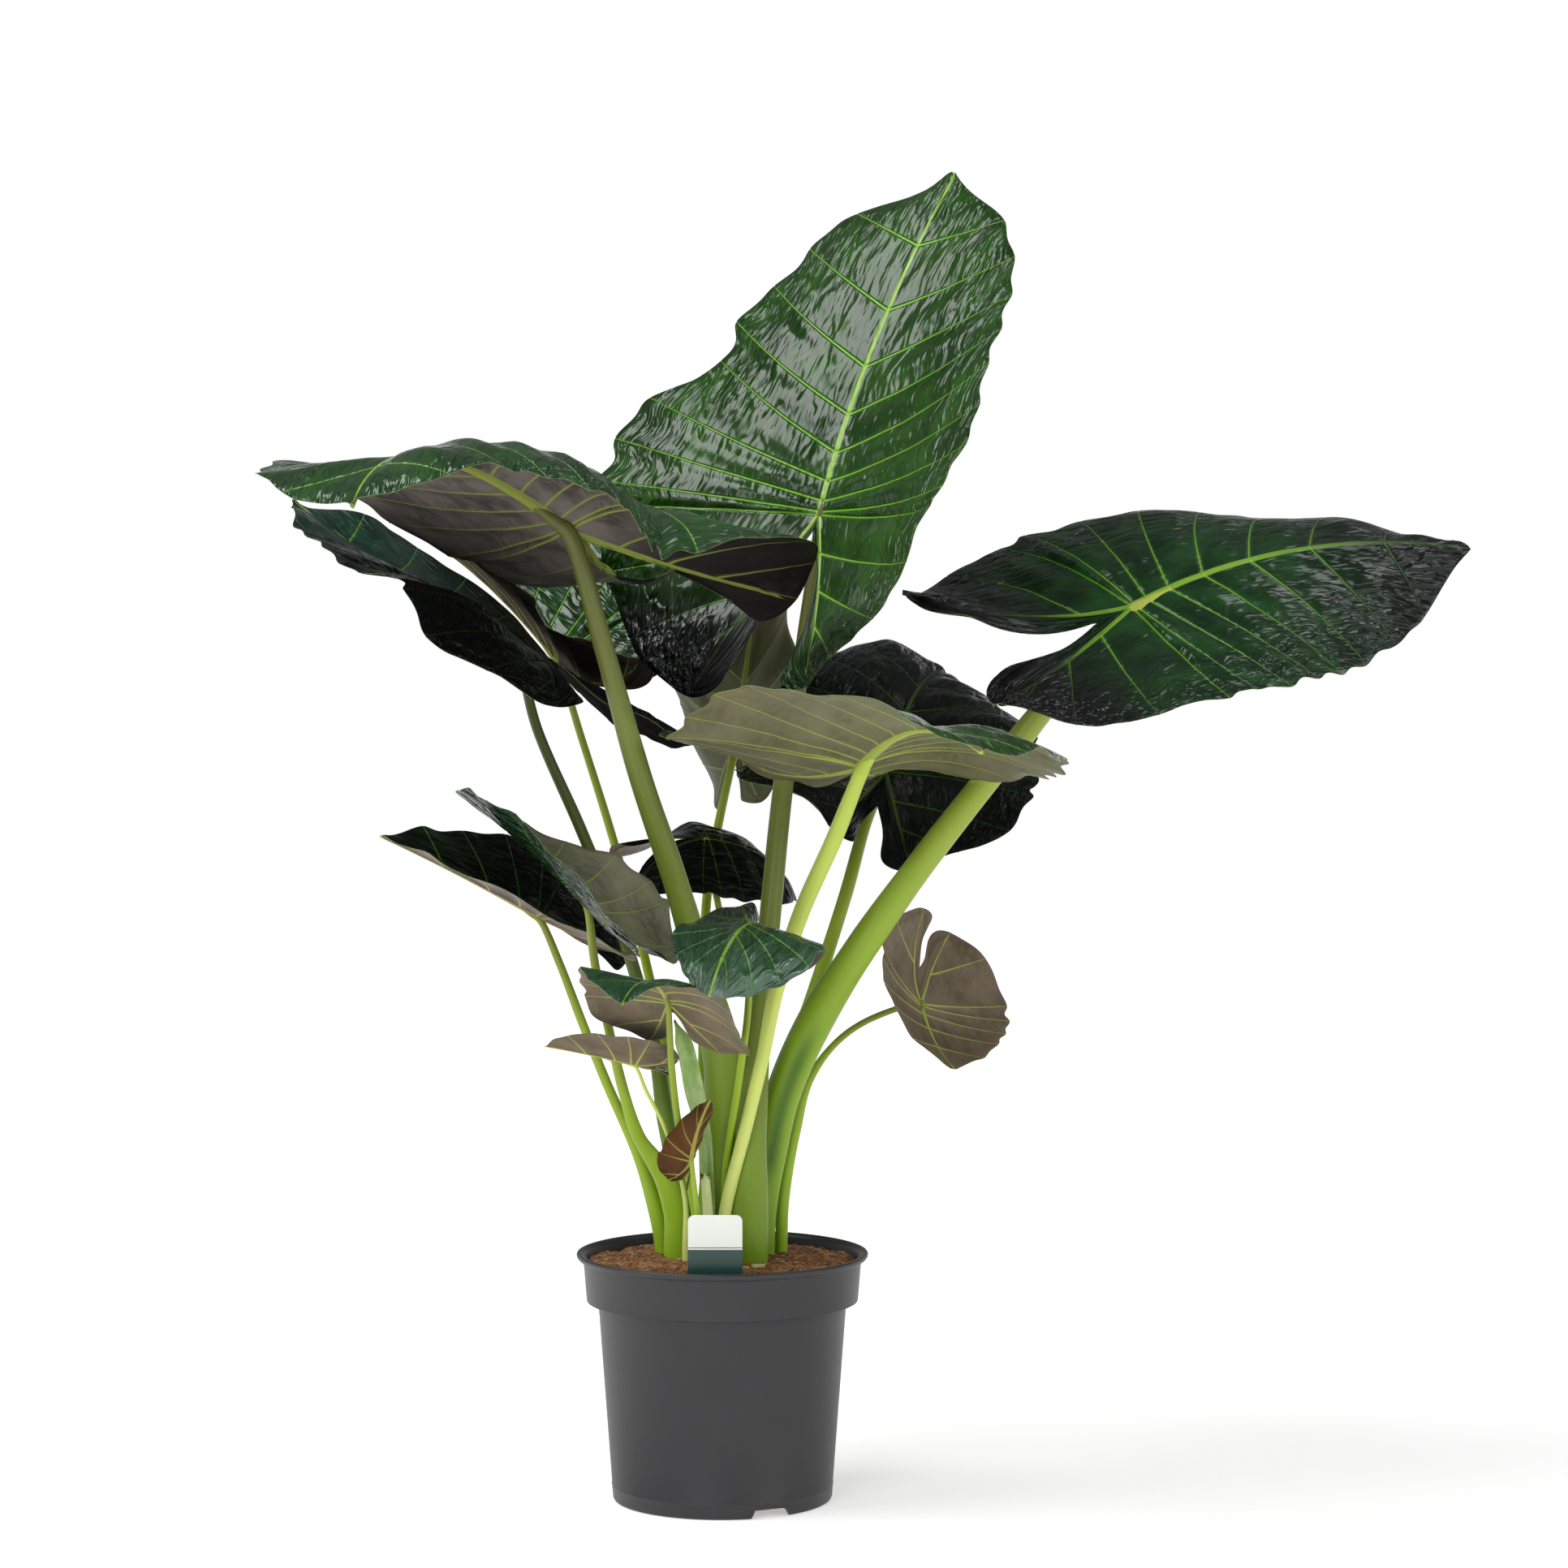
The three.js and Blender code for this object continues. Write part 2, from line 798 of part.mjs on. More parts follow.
// A point of the blade's middle sheet, lifted off it by a height; out is in blade lengths
function bladePoint(leaf, side, along, out, lift) {
  const half = side < 0 ? leaf.left : leaf.right;
  const middleDroop = (leaf.left.lobeDroop + leaf.right.lobeDroop) / 2;
  const ownShare = Math.min(1, out / (lobeBlendShare * leaf.halfWidth));
  const lobeDroop = lerp(middleDroop, half.lobeDroop, ownShare);
  const steps = Math.max(1, Math.ceil(Math.abs(along) / spineStep));
  const point = new THREE.Vector3(...leaf.hub);
  for (let i = 0; i < steps; i += 1) {
    const { tangent } = axesAlong(leaf, (along * (i + 0.5)) / steps, lobeDroop);
    point.addScaledVector(tangent, (leaf.length * along) / steps);
  }
  const { up, right } = axesAlong(leaf, along, lobeDroop);
  const fold = half.fold + half.tipFold * clamp(along, 0, 1) + 2 * half.lobeFold * clamp(-along, 0, 1);
  const slope = radians(fold + (half.curl * out) / leaf.halfWidth / 2);
  const across = out * leaf.length * Math.cos(slope) - lift * Math.sin(slope);
  const rise = out * leaf.length * Math.sin(slope) + lift * Math.cos(slope);
  return point.addScaledVector(right, side * across).addScaledVector(up, rise);
}

// A place on the outline, by how far round it is: 0 is the tip and lastTurn the bottom of the notch
function outlineAt(leaf, turn) {
  const notch = leaf.notch ?? usualNotch;
  const points = [...halfOutline, [-0.78, 0.12], [-(0.74 + notch) / 2, 0.07], [-notch, 0]];
  const curve = new THREE.SplineCurve(points.map(([x, y]) => new THREE.Vector2(x, y)));
  const { x, y } = curve.getPoint(turn / lastTurn);
  return [x < 0 ? x * leaf.lobe : x, Math.max(0, y) * leaf.halfWidth];
}

// How far round the outline a margin point is that lies this far along the blade
function turnAt(along) {
  const after = halfOutline.findIndex(([x]) => x <= along);
  const [high] = halfOutline[after - 1];
  const [low] = halfOutline[after];
  return after - 1 + (high - along) / (high - low);
}

// Rows of a half blade, each from the midrib or the lobe's rib to the margin. Every second row of the
// outer ones follows a side vein, and the rows between them bulge.
function bladeRows(leaf) {
  const rows = [];
  const forward = 2 * leaf.veins;
  const backward = leaf.veins - 1;
  for (let i = 0; i <= forward; i += 1) {
    const share = 1 - i / forward;
    const turn = i === 0 ? 0 : turnAt(veinMarginSpan * share - veinMarginLag);
    rows.push({ core: [share ** veinCrowding, 0], turn, bulge: i % 2 });
  }
  const hubTurn = turnAt(-veinMarginLag);
  const ribAt = (share) => [
    -posteriorRib[0] * leaf.lobe * share,
    posteriorRib[1] * leaf.halfWidth * share,
  ];
  for (let i = 1; i <= backward; i += 1) {
    const share = i / backward;
    rows.push({ core: ribAt(share), turn: lerp(hubTurn, lobeEndTurn, share), bulge: i % 2 });
  }
  for (let i = backward - 1; i > 0; i -= 1) {
    const share = i / backward;
    rows.push({ core: ribAt(share), turn: lerp(lastTurn, lobeEndTurn, share), bulge: 0 });
  }
  rows.push({ core: [0, 0], turn: lastTurn, bulge: 0 });
  return rows;
}

// Shares of a row at which it has points: its rib, the rib's foot where the blade is large, its middle
// and its margin
function columnsOf(leaf, row) {
  if (leaf.veins < fewestVeinsWithRibFoot) return [0, 0.5, 1];
  const [along, out] = outlineAt(leaf, row.turn);
  const width = Math.hypot(along - row.core[0], out - row.core[1]);
  return [0, clamp(ribHalfWidthShare / width, ...ribFootLimits), middleShare, 1];
}

// A whole blade as a thin closed sheet with a thicker rib along its middle and into its lobes
function bladeSolid(leaf, grow) {
  const middle = [];
  const ribDepth = [];
  const numbers = new Map();
  const faces = [];
  const place = (side, row, share) => {
    const edge = outlineAt(leaf, row.turn);
    const bay = Math.abs(row.turn - lobeEndTurn) < smoothTurnsAtLobeEnd ? 0 : scallopShare * share;
    const scallop = 1 + (row.bulge ? -bay : bay);
    const along = lerp(row.core[0], edge[0], share);
    const out = lerp(row.core[1], edge[1], share) * scallop;
    const onAxis = out < 1e-6;
    const key = `${onAxis ? 0 : side},${along.toFixed(5)},${out.toFixed(5)}`;
    if (!numbers.has(key)) {
      const wave = Math.sin(row.turn * edgeWaveTurn + leaf.heading) * share * share * edgeWaveShare;
      const quilt = row.bulge * Math.sin(Math.PI * Math.min(1, share * quiltReach)) * quiltShare;
      const lift = onAxis ? 0 : (wave + quilt) * leaf.length;
      numbers.set(key, middle.length);
      middle.push(bladePoint(leaf, side, along, out, lift));
      const taper = along > 0 ? 1 - ribTipTaper * along : 1 - out / leaf.halfWidth / posteriorRib[1];
      ribDepth.push(share === 0 ? ribDepthShare * leaf.length * taper : 0);
    }
    return numbers.get(key);
  };
  const addFace = (a, b, c) => {
    if (a !== b && b !== c && c !== a) faces.push([a, b, c]);
  };
  const rows = bladeRows(leaf);
  for (const side of [-1, 1]) {
    const grid = rows.map((row) => columnsOf(leaf, row).map((share) => place(side, row, share)));
    for (let i = 0; i + 1 < grid.length; i += 1) {
      for (let k = 0; k + 1 < grid[i].length; k += 1) {
        const [a, b, c, d] = [grid[i][k], grid[i][k + 1], grid[i + 1][k + 1], grid[i + 1][k]];
        if (side < 0) {
          addFace(a, b, c);
          addFace(a, c, d);
        } else {
          addFace(a, c, b);
          addFace(a, d, c);
        }
      }
    }
  }
  return sheetSolid(middle, faces, bladeThickness / 2 + grow, ribDepth);
}

// A closed sheet round a surface of points and triangles, with the same triangles on both faces
function sheetSolid(middle, faces, halfThickness, extraDepth) {
  const normals = middle.map(() => new THREE.Vector3());
  for (const [a, b, c] of faces) {
    const one = middle[b].clone().sub(middle[a]);
    const other = middle[c].clone().sub(middle[a]);
    one.cross(other);
    for (const corner of [a, b, c]) normals[corner].add(one);
  }
  const count = middle.length;
  const points = [
    ...middle.map((point, i) => point.clone().addScaledVector(normals[i].normalize(), halfThickness)),
    ...middle.map((point, i) => point.clone().addScaledVector(normals[i], -halfThickness - extraDepth[i])),
  ];
  const edges = new Set(faces.flatMap(([a, b, c]) => [`${a},${b}`, `${b},${c}`, `${c},${a}`]));
  const solidFaces = [];
  for (const [a, b, c] of faces) {
    solidFaces.push([a, b, c], [a + count, c + count, b + count]);
    for (const [from, to] of [[a, b], [b, c], [c, a]]) {
      if (edges.has(`${to},${from}`)) continue;
      solidFaces.push([to, from, from + count], [to, from + count, to + count]);
    }
  }
  return solidOf(bodyOf(points, solidFaces));
}

// A round or flattened stem along a route of [x, y, z, half width]; its foot is flattened by a share
function stemSolid(route, sides, flatness, grow, tear) {
  const curve = new THREE.CatmullRomCurve3(route.map(([x, y, z]) => new THREE.Vector3(x, y, z)));
  const spans = route.length - 1;
  const points = [];
  const ends = [];
  for (let i = 0; i <= spans; i += 1) {
    const share = i / spans;
    const halfWidth = route[i][3] + grow;
    const depth = lerp(flatness, 1, clamp((share - roundFrom) / (roundTo - roundFrom), 0, 1)) * halfWidth;
    const tangent = curve.getTangent(share);
    const overrun = i === 0 ? -grow : i === spans ? grow : 0;
    const centre = curve.getPoint(share).addScaledVector(tangent, overrun);
    if (i === 0 || i === spans) ends.push(centre);
    const across = new THREE.Vector3().crossVectors(tangent, new THREE.Vector3(0, 1, 0)).normalize();
    const deep = new THREE.Vector3().crossVectors(across, tangent);
    for (let k = 0; k < sides; k += 1) {
      const angle = (k / sides) * 2 * Math.PI;
      const ragged = i === spans ? tear * Math.sin(angle * 3) : 0;
      const point = centre.clone().addScaledVector(across, halfWidth * Math.cos(angle));
      point.addScaledVector(deep, depth * Math.sin(angle));
      points.push(point.addScaledVector(tangent, ragged));
    }
  }
  const foot = points.length;
  points.push(...ends);
  const faces = [];
  for (let k = 0; k < sides; k += 1) {
    const next = (k + 1) % sides;
    for (let i = 0; i < spans; i += 1) {
      const low = i * sides;
      const high = low + sides;
      faces.push([low + k, high + next, low + next], [low + k, high + k, high + next]);
    }
    faces.push([foot, k, next], [foot + 1, spans * sides + next, spans * sides + k]);
  }
  return solidOf(bodyOf(points, faces));
}

// A leaf's stalk from the rootstock to a little past its hub
function stalkSolid(leaf, grow) {
  const [x, y] = leaf.stalk[0];
  const foot = [x * stalkFootPull, y * stalkFootPull, stalkFootHeight, leaf.stalk[0][3] * stalkFootTaper];
  const last = leaf.stalk[leaf.stalk.length - 1];
  const hub = new THREE.Vector3(...leaf.hub);
  const reach = hub.clone().sub(new THREE.Vector3(...last)).setLength(Math.min(hubReach, leaf.length / 16));
  const end = [...hub.clone().add(reach), last[3] * 0.9];
  const route = [foot, ...leaf.stalk, end];
  return stemSolid(route, last[3] < smallStalkRadius ? 6 : stalkSides, leaf.sheath ?? 1, grow, 0);
}

function driedSheathSolid(grow) {
  const middle = [];
  const faces = [];
  driedSheathRoute.forEach(([x, y, height, reach], i) => {
    const half = reach + grow;
    const crinkle = i % 2 ? driedSheathFold : -driedSheathFold / 2;
    const z = i ? height : height - grow;
    middle.push(new THREE.Vector3(x - half, y + crinkle / 2, z));
    middle.push(new THREE.Vector3(x, y - crinkle / 2, z));
    middle.push(new THREE.Vector3(x + half, y + crinkle / 2, z));
  });
  for (let i = 0; i + 1 < driedSheathRoute.length; i += 1) {
    for (const k of [3 * i, 3 * i + 1]) {
      faces.push([k, k + 1, k + 4], [k, k + 4, k + 3]);
    }
  }
  return sheetSolid(middle, faces, driedSheathThickness / 2 + grow, middle.map(() => 0));
}

function chipSolid(chip, grow) {
  const [x, y] = chip.centre;
  const shape = new THREE.Shape();
  shape.moveTo(-chip.length / 2 - grow, -chip.width / 3 - grow);
  shape.lineTo(chip.length / 3, -chip.width / 2 - grow);
  shape.lineTo(chip.length / 2 + grow, 0);
  shape.lineTo(chip.length / 4, chip.width / 2 + grow);
  shape.lineTo(-chip.length / 2 - grow, chip.width / 3 + grow);
  const depth = chip.height + 2 * grow;
  const geometry = new THREE.ExtrudeGeometry(shape, { depth, bevelEnabled: false });
  geometry.rotateZ(radians(chip.turn));
  geometry.translate(x, y, soilHeight(x, y) - chipSinking - grow);
  return solidOf(geometry);
}

const pot = potSolid();
const label = labelSolid(0);
const rootstock = rootstockSolid(0);
const driedSheath = driedSheathSolid(0);
const stub = stemSolid(stubRoute, stubSides, 1, 0, stubTear);

// Stalks crowd at the crown, so the thicker ones are hollowed where thinner ones press into them
const blades = leaves.map((leaf) => bladeSolid(leaf, 0));
const stalks = new Map();
const inCrownOrder = [...leaves].sort((one, other) => one.stalk[0][3] - other.stalk[0][3]);
const thinner = [
  driedSheathSolid(clearance),
  stemSolid(stubRoute, stubSides, 1, clearance, stubTear),
  rootstockSolid(clearance),
];
for (const leaf of inCrownOrder) {
  let solid = stalkSolid(leaf, 0).subtract(bladeSolid(leaf, 1.5 * clearance));
  for (const neighbour of thinner) solid = solid.subtract(neighbour);
  stalks.set(leaf, largestPiece(solid));
  thinner.push(stalkSolid(leaf, clearance));
}

let soil = soilSolid();
for (const root of [...thinner, labelSolid(clearance)]) soil = soil.subtract(root);
for (const chip of chips) soil = soil.subtract(chipSolid(chip, clearance));

addMesh("pot", geometryOf(pot), colours.pot, 0.55);
addMesh("soil", geometryOf(largestPiece(soil)), colours.soil, 1);
addMesh("rootstock", geometryOf(rootstock), colours.rootstock, 0.9);
addMesh("label", geometryOf(label), colours.label, 0.4);
leaves.forEach((leaf, i) => {
  addMesh(`${leaf.name}_blade`, geometryOf(blades[i]), colours.blade, 0.35);
  addMesh(`${leaf.name}_stalk`, geometryOf(stalks.get(leaf)), colours[leaf.stalkColour ?? "stalk"], 0.45);
});
addMesh("dried_sheath", geometryOf(driedSheath), colours.driedSheath, 0.8);
addMesh("cut_stub", geometryOf(stub), colours.paleStalk, 0.6);
chips.forEach((chip, i) => {
  addMesh(`chip_${i + 1}`, geometryOf(chipSolid(chip, 0)), colours.chip, 0.8);
});

export default part;
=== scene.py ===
import math

import bpy
import numpy as np
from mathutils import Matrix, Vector


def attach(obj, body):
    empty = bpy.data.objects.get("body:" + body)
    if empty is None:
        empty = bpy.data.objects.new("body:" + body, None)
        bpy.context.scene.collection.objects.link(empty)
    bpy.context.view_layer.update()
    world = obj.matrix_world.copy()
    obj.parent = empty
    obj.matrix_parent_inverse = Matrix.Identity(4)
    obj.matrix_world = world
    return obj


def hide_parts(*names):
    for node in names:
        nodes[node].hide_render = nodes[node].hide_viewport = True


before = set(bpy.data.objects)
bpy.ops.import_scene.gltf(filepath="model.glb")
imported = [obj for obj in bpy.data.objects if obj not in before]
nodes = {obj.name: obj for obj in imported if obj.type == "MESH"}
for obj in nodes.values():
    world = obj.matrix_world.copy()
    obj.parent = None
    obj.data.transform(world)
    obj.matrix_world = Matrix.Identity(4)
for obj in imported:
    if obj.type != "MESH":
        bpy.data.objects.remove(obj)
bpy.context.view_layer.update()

# Camera, at the photograph's viewing angle
print("camera and light")
view = dict(place=(0.057, -4.05, 0.865), tiltDown=2.87, lens=101.18, sensor=36.0)
cameraData = bpy.data.cameras.new("camera")
cameraData.lens = view["lens"]
cameraData.sensor_width = view["sensor"]
cameraData.clip_end = 60.0
camera = bpy.data.objects.new("camera", cameraData)
camera.location = view["place"]
camera.rotation_euler = (math.radians(90 - view["tiltDown"]), 0, 0)
bpy.context.scene.collection.objects.link(camera)
bpy.context.scene.camera = camera


class Sock:
    # a shader socket that can be used in sums
    def __init__(self, tree, link):
        self.tree = tree
        self.link = link

    def join(self, operation, one, other):
        node = self.tree.nodes.new("ShaderNodeMath")
        node.operation = operation
        plug(self.tree, node.inputs[0], one)
        plug(self.tree, node.inputs[1], other)
        return Sock(self.tree, node.outputs[0])

    def __add__(self, other):
        return self.join("ADD", self, other)

    def __radd__(self, other):
        return self.join("ADD", other, self)

    def __sub__(self, other):
        return self.join("SUBTRACT", self, other)

    def __rsub__(self, other):
        return self.join("SUBTRACT", other, self)

    def __mul__(self, other):
        return self.join("MULTIPLY", self, other)

    def __rmul__(self, other):
        return self.join("MULTIPLY", other, self)

    def high(self, other):
        return self.join("MAXIMUM", self, other)

    def ramp(self, start, end):
        # 0 before start, 1 after end, smooth between; start may be above end
        node = self.tree.nodes.new("ShaderNodeMapRange")
        node.interpolation_type = "SMOOTHSTEP"
        plug(self.tree, node.inputs["Value"], self)
        flip = start > end
        node.inputs["From Min"].default_value = min(start, end)
        node.inputs["From Max"].default_value = max(start, end)
        node.inputs["To Min"].default_value = 1.0 if flip else 0.0
        node.inputs["To Max"].default_value = 0.0 if flip else 1.0
        return Sock(self.tree, node.outputs["Result"])


def plug(tree, entry, value):
    if isinstance(value, Sock):
        tree.links.new(value.link, entry)
    elif isinstance(value, (tuple, list)) and len(value) == 3 and entry.type == "RGBA":
        entry.default_value = (*value, 1.0)
    else:
        entry.default_value = value


class Finish:
    # one material: its nodes are added through node() and its surface through surface()
    def __init__(self, name, viewColour):
        self.material = bpy.data.materials.new(name)
        self.material.use_nodes = True
        self.material.diffuse_color = (*viewColour, 1.0)
        self.tree = self.material.node_tree
        self.shader = self.tree.nodes["Principled BSDF"]

    def node(self, kind, output=0, settings=None, **sockets):
        made = self.tree.nodes.new(kind)
        for key, value in (settings or {}).items():
            if key == "stops":
                fillRamp(made, value)
            else:
                setattr(made, key, value)
        for key, value in sockets.items():
            name = key.replace("_", " ")
            entry = made.inputs[int(name[1:])] if name[1:].isdigit() else made.inputs[name]
            plug(self.tree, entry, value)
        return Sock(self.tree, made.outputs[output])

    def measure(self, name):
        return self.node("ShaderNodeAttribute", "Fac", settings=dict(attribute_name=name))

    def place(self, name):
        return self.node("ShaderNodeAttribute", "Vector", settings=dict(attribute_name=name))

    def where(self):
        return self.node("ShaderNodeTexCoord", "Object")

    def split(self, vector):
        made = self.tree.nodes.new("ShaderNodeSeparateXYZ")
        plug(self.tree, made.inputs[0], vector)
        return [Sock(self.tree, made.outputs[i]) for i in range(3)]

    def scaled(self, vector, size):
        return self.node("ShaderNodeVectorMath", settings=dict(operation="MULTIPLY"), _0=vector, _1=size)

    def cloud(self, vector, size, detail=3.0, rough=0.55, warp=0.0):
        return self.node("ShaderNodeTexNoise", "Fac", Vector=vector, Scale=size, Detail=detail,
                         Roughness=rough, Distortion=warp)

    def blend(self, amount, one, other):
        made = self.tree.nodes.new("ShaderNodeMix")
        made.data_type = "RGBA"
        made.clamp_factor = True
        plug(self.tree, made.inputs[0], amount)
        plug(self.tree, made.inputs[6], one)
        plug(self.tree, made.inputs[7], other)
        return Sock(self.tree, made.outputs[2])

    def bump(self, height, strength, distance):
        return self.node("ShaderNodeBump", "Normal", Height=height, Strength=strength, Distance=distance)

    def surface(self, colour, roughness, normal=None, **constants):
        plug(self.tree, self.shader.inputs["Base Color"], colour)
        plug(self.tree, self.shader.inputs["Roughness"], roughness)
        if normal is not None:
            plug(self.tree, self.shader.inputs["Normal"], normal)
        for key, value in constants.items():
            plug(self.tree, self.shader.inputs[key.replace("_", " ")], value)
        return self.material


def fillRamp(made, stops):
    ramp = made.color_ramp
    while len(ramp.elements) < len(stops):
        ramp.elements.new(0.5)
    for element, (place, colour) in zip(ramp.elements, stops):
        element.position = place
        element.color = (*colour, 1.0)


def gentle(x):
    # smooth step of numbers between 0 and 1
    x = np.clip(x, 0, 1)
    return x * x * (3 - 2 * x)


def meshPiece(name, points, faces, materials, faceMaterial=None, values=None, smooth=True,
              replaced=()):
    mesh = bpy.data.meshes.new(name)
    mesh.from_pydata([tuple(p) for p in points], [], [tuple(f) for f in faces])
    mesh.validate()
    for material in materials:
        mesh.materials.append(material)
    if faceMaterial is not None:
        mesh.polygons.foreach_set("material_index", np.asarray(faceMaterial, np.int32))
    mesh.polygons.foreach_set("use_smooth", np.full(len(mesh.polygons), smooth))
    for key, value in (values or {}).items():
        value = np.asarray(value, np.float32)
        if value.ndim == 1:
            layer = mesh.attributes.new(key, "FLOAT", "POINT")
            layer.data.foreach_set("value", value)
        else:
            layer = mesh.attributes.new(key, "FLOAT_VECTOR", "POINT")
            layer.data.foreach_set("vector", value.ravel())
    mesh.update()
    piece = bpy.data.objects.new(name, mesh)
    bpy.context.scene.collection.objects.link(piece)
    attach(piece, "root")
    if replaced:
        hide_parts(*replaced)
    return piece


# Light and floor
studio = dict(
    horizon=1.0, sky=0.17, skyFrom=0.13, skyTo=0.24,
    lamps=[
        dict(name="softboxLeft", place=(-1.3, -3.3, 1.9), aim=(0.0, 0.0, 0.6), size=1.8, power=40),
        dict(name="softboxOver", place=(-1.75, -0.5, 3.5), aim=(0.0, 0.1, 0.9), size=2.4, power=127),
        dict(name="softboxRight", place=(2.9, -2.2, 1.9), aim=(0.0, 0.0, 0.6), size=1.6, power=42),
        dict(name="softboxTopRight", place=(2.2, 0.5, 3.2), aim=(0.4, 0.0, 0.8), size=1.2, power=22),
    ],
    floor=(0.86, 0.86, 0.86), floorNear=(0.42, 0.42, 0.42), floorFar=(0.85, 0.85, 0.85), floorFade=(0.8, 3.2),
    floorSize=14.0,
)


def softbox(lamp):
    data = bpy.data.lights.new(lamp["name"], "AREA")
    data.shape = "SQUARE"
    data.size = lamp["size"]
    data.energy = lamp["power"]
    light = bpy.data.objects.new(lamp["name"], data)
    light.location = lamp["place"]
    aim = Vector(lamp["aim"]) - Vector(lamp["place"])
    light.rotation_euler = aim.to_track_quat("-Z", "Y").to_euler()
    bpy.context.scene.collection.objects.link(light)


for lamp in studio["lamps"]:
    softbox(lamp)

# The air is white at eye level and dims overhead
world = bpy.data.worlds.new("studioAir")
world.use_nodes = True
airTree = world.node_tree
airPlace = airTree.nodes.new("ShaderNodeTexCoord")
airSplit = airTree.nodes.new("ShaderNodeSeparateXYZ")
airTree.links.new(airPlace.outputs["Generated"], airSplit.inputs[0])
overhead = Sock(airTree, airSplit.outputs["Z"]).ramp(studio["skyFrom"], studio["skyTo"])
air = studio["horizon"] - overhead * (studio["horizon"] - studio["sky"])
plug(airTree, airTree.nodes["Background"].inputs["Color"], (1.0, 1.0, 1.0))
plug(airTree, airTree.nodes["Background"].inputs["Strength"], air)
bpy.context.scene.world = world
bpy.context.scene.view_settings.view_transform = "Standard"

floorFinish = Finish("paleFloor", studio["floor"])
floorHalf = studio["floorSize"] / 2
floorSink = -0.0005
floorMesh = bpy.data.meshes.new("floor")
floorCorners = [(-1, -1), (1, -1), (1, 1), (-1, 1)]
floorMesh.from_pydata([(floorHalf * x, floorHalf * y, floorSink) for x, y in floorCorners], [],
                      [(0, 1, 2, 3)])
floorReach = floorFinish.node("ShaderNodeVectorMath", "Value", settings=dict(operation="LENGTH"),
                              _0=floorFinish.where())
floorLight = floorFinish.blend(floorReach.ramp(*studio["floorFade"]), studio["floorNear"], studio["floorFar"])
floorMesh.materials.append(floorFinish.surface(studio["floor"], 0.9, Emission_Color=floorLight,
                                               Emission_Strength=1.0))
floor = bpy.data.objects.new("floor", floorMesh)
bpy.context.scene.collection.objects.link(floor)


# Leaves: hub is where the stalk meets the blade; heading, rise and roll pose the blade, in degrees
leafShape = dict(
    halfOutline=[(1, 0), (0.965, 0.06), (0.9, 0.24), (0.8, 0.43), (0.7, 0.56), (0.5, 0.76), (0.3, 0.9),
                 (0.1, 0.98), (-0.2, 1), (-0.5, 0.93), (-0.78, 0.76), (-0.94, 0.54), (-1, 0.36),
                 (-0.95, 0.2)],
    lobeEndTurn=11.8, lastTurn=16, posteriorRib=(0.84, 0.32), usualNotch=0.2, lobeBlend=0.15,
    edgeWave=0.012, edgeWaveTurn=2.4, scallop=0.02, quilt=0.008, veinCrowding=2.2, veinSpan=1.13,
    thickness=0.0009, veinRows=(0.0, 0.035, 0.08, 0.14, 0.23, 0.36, 0.52, 0.68, 0.84),
    ribColumns=5, bladeColumns=21, veinBow=0.012, ruffle=0.03, rufflePitch=0.9, bluntPower=6,
    usualLength=0.37, ribWidth=0.75, ribTipTaper=0.85, ribLobeShare=0.62, ribLobeTaper=0.8, ribLeast=0.0007,
    veinHalf=0.0007, veinHalfGrowth=0.0004, veinTaper=0.55, edgeThin=0.004, edgeThickness=0.4,
    veinSink=0.0005, veinRise=0.0008, ribRise=0.9, ribCrest=0.25, topRibLeast=0.0009, topRibShare=0.42,
    flowShift=0.37,
    ripples=[(0.030, 5, 0.024, 0, 0, 0.0022), (0.013, 0, 0.030, 9, 3, 0.0008)],
)
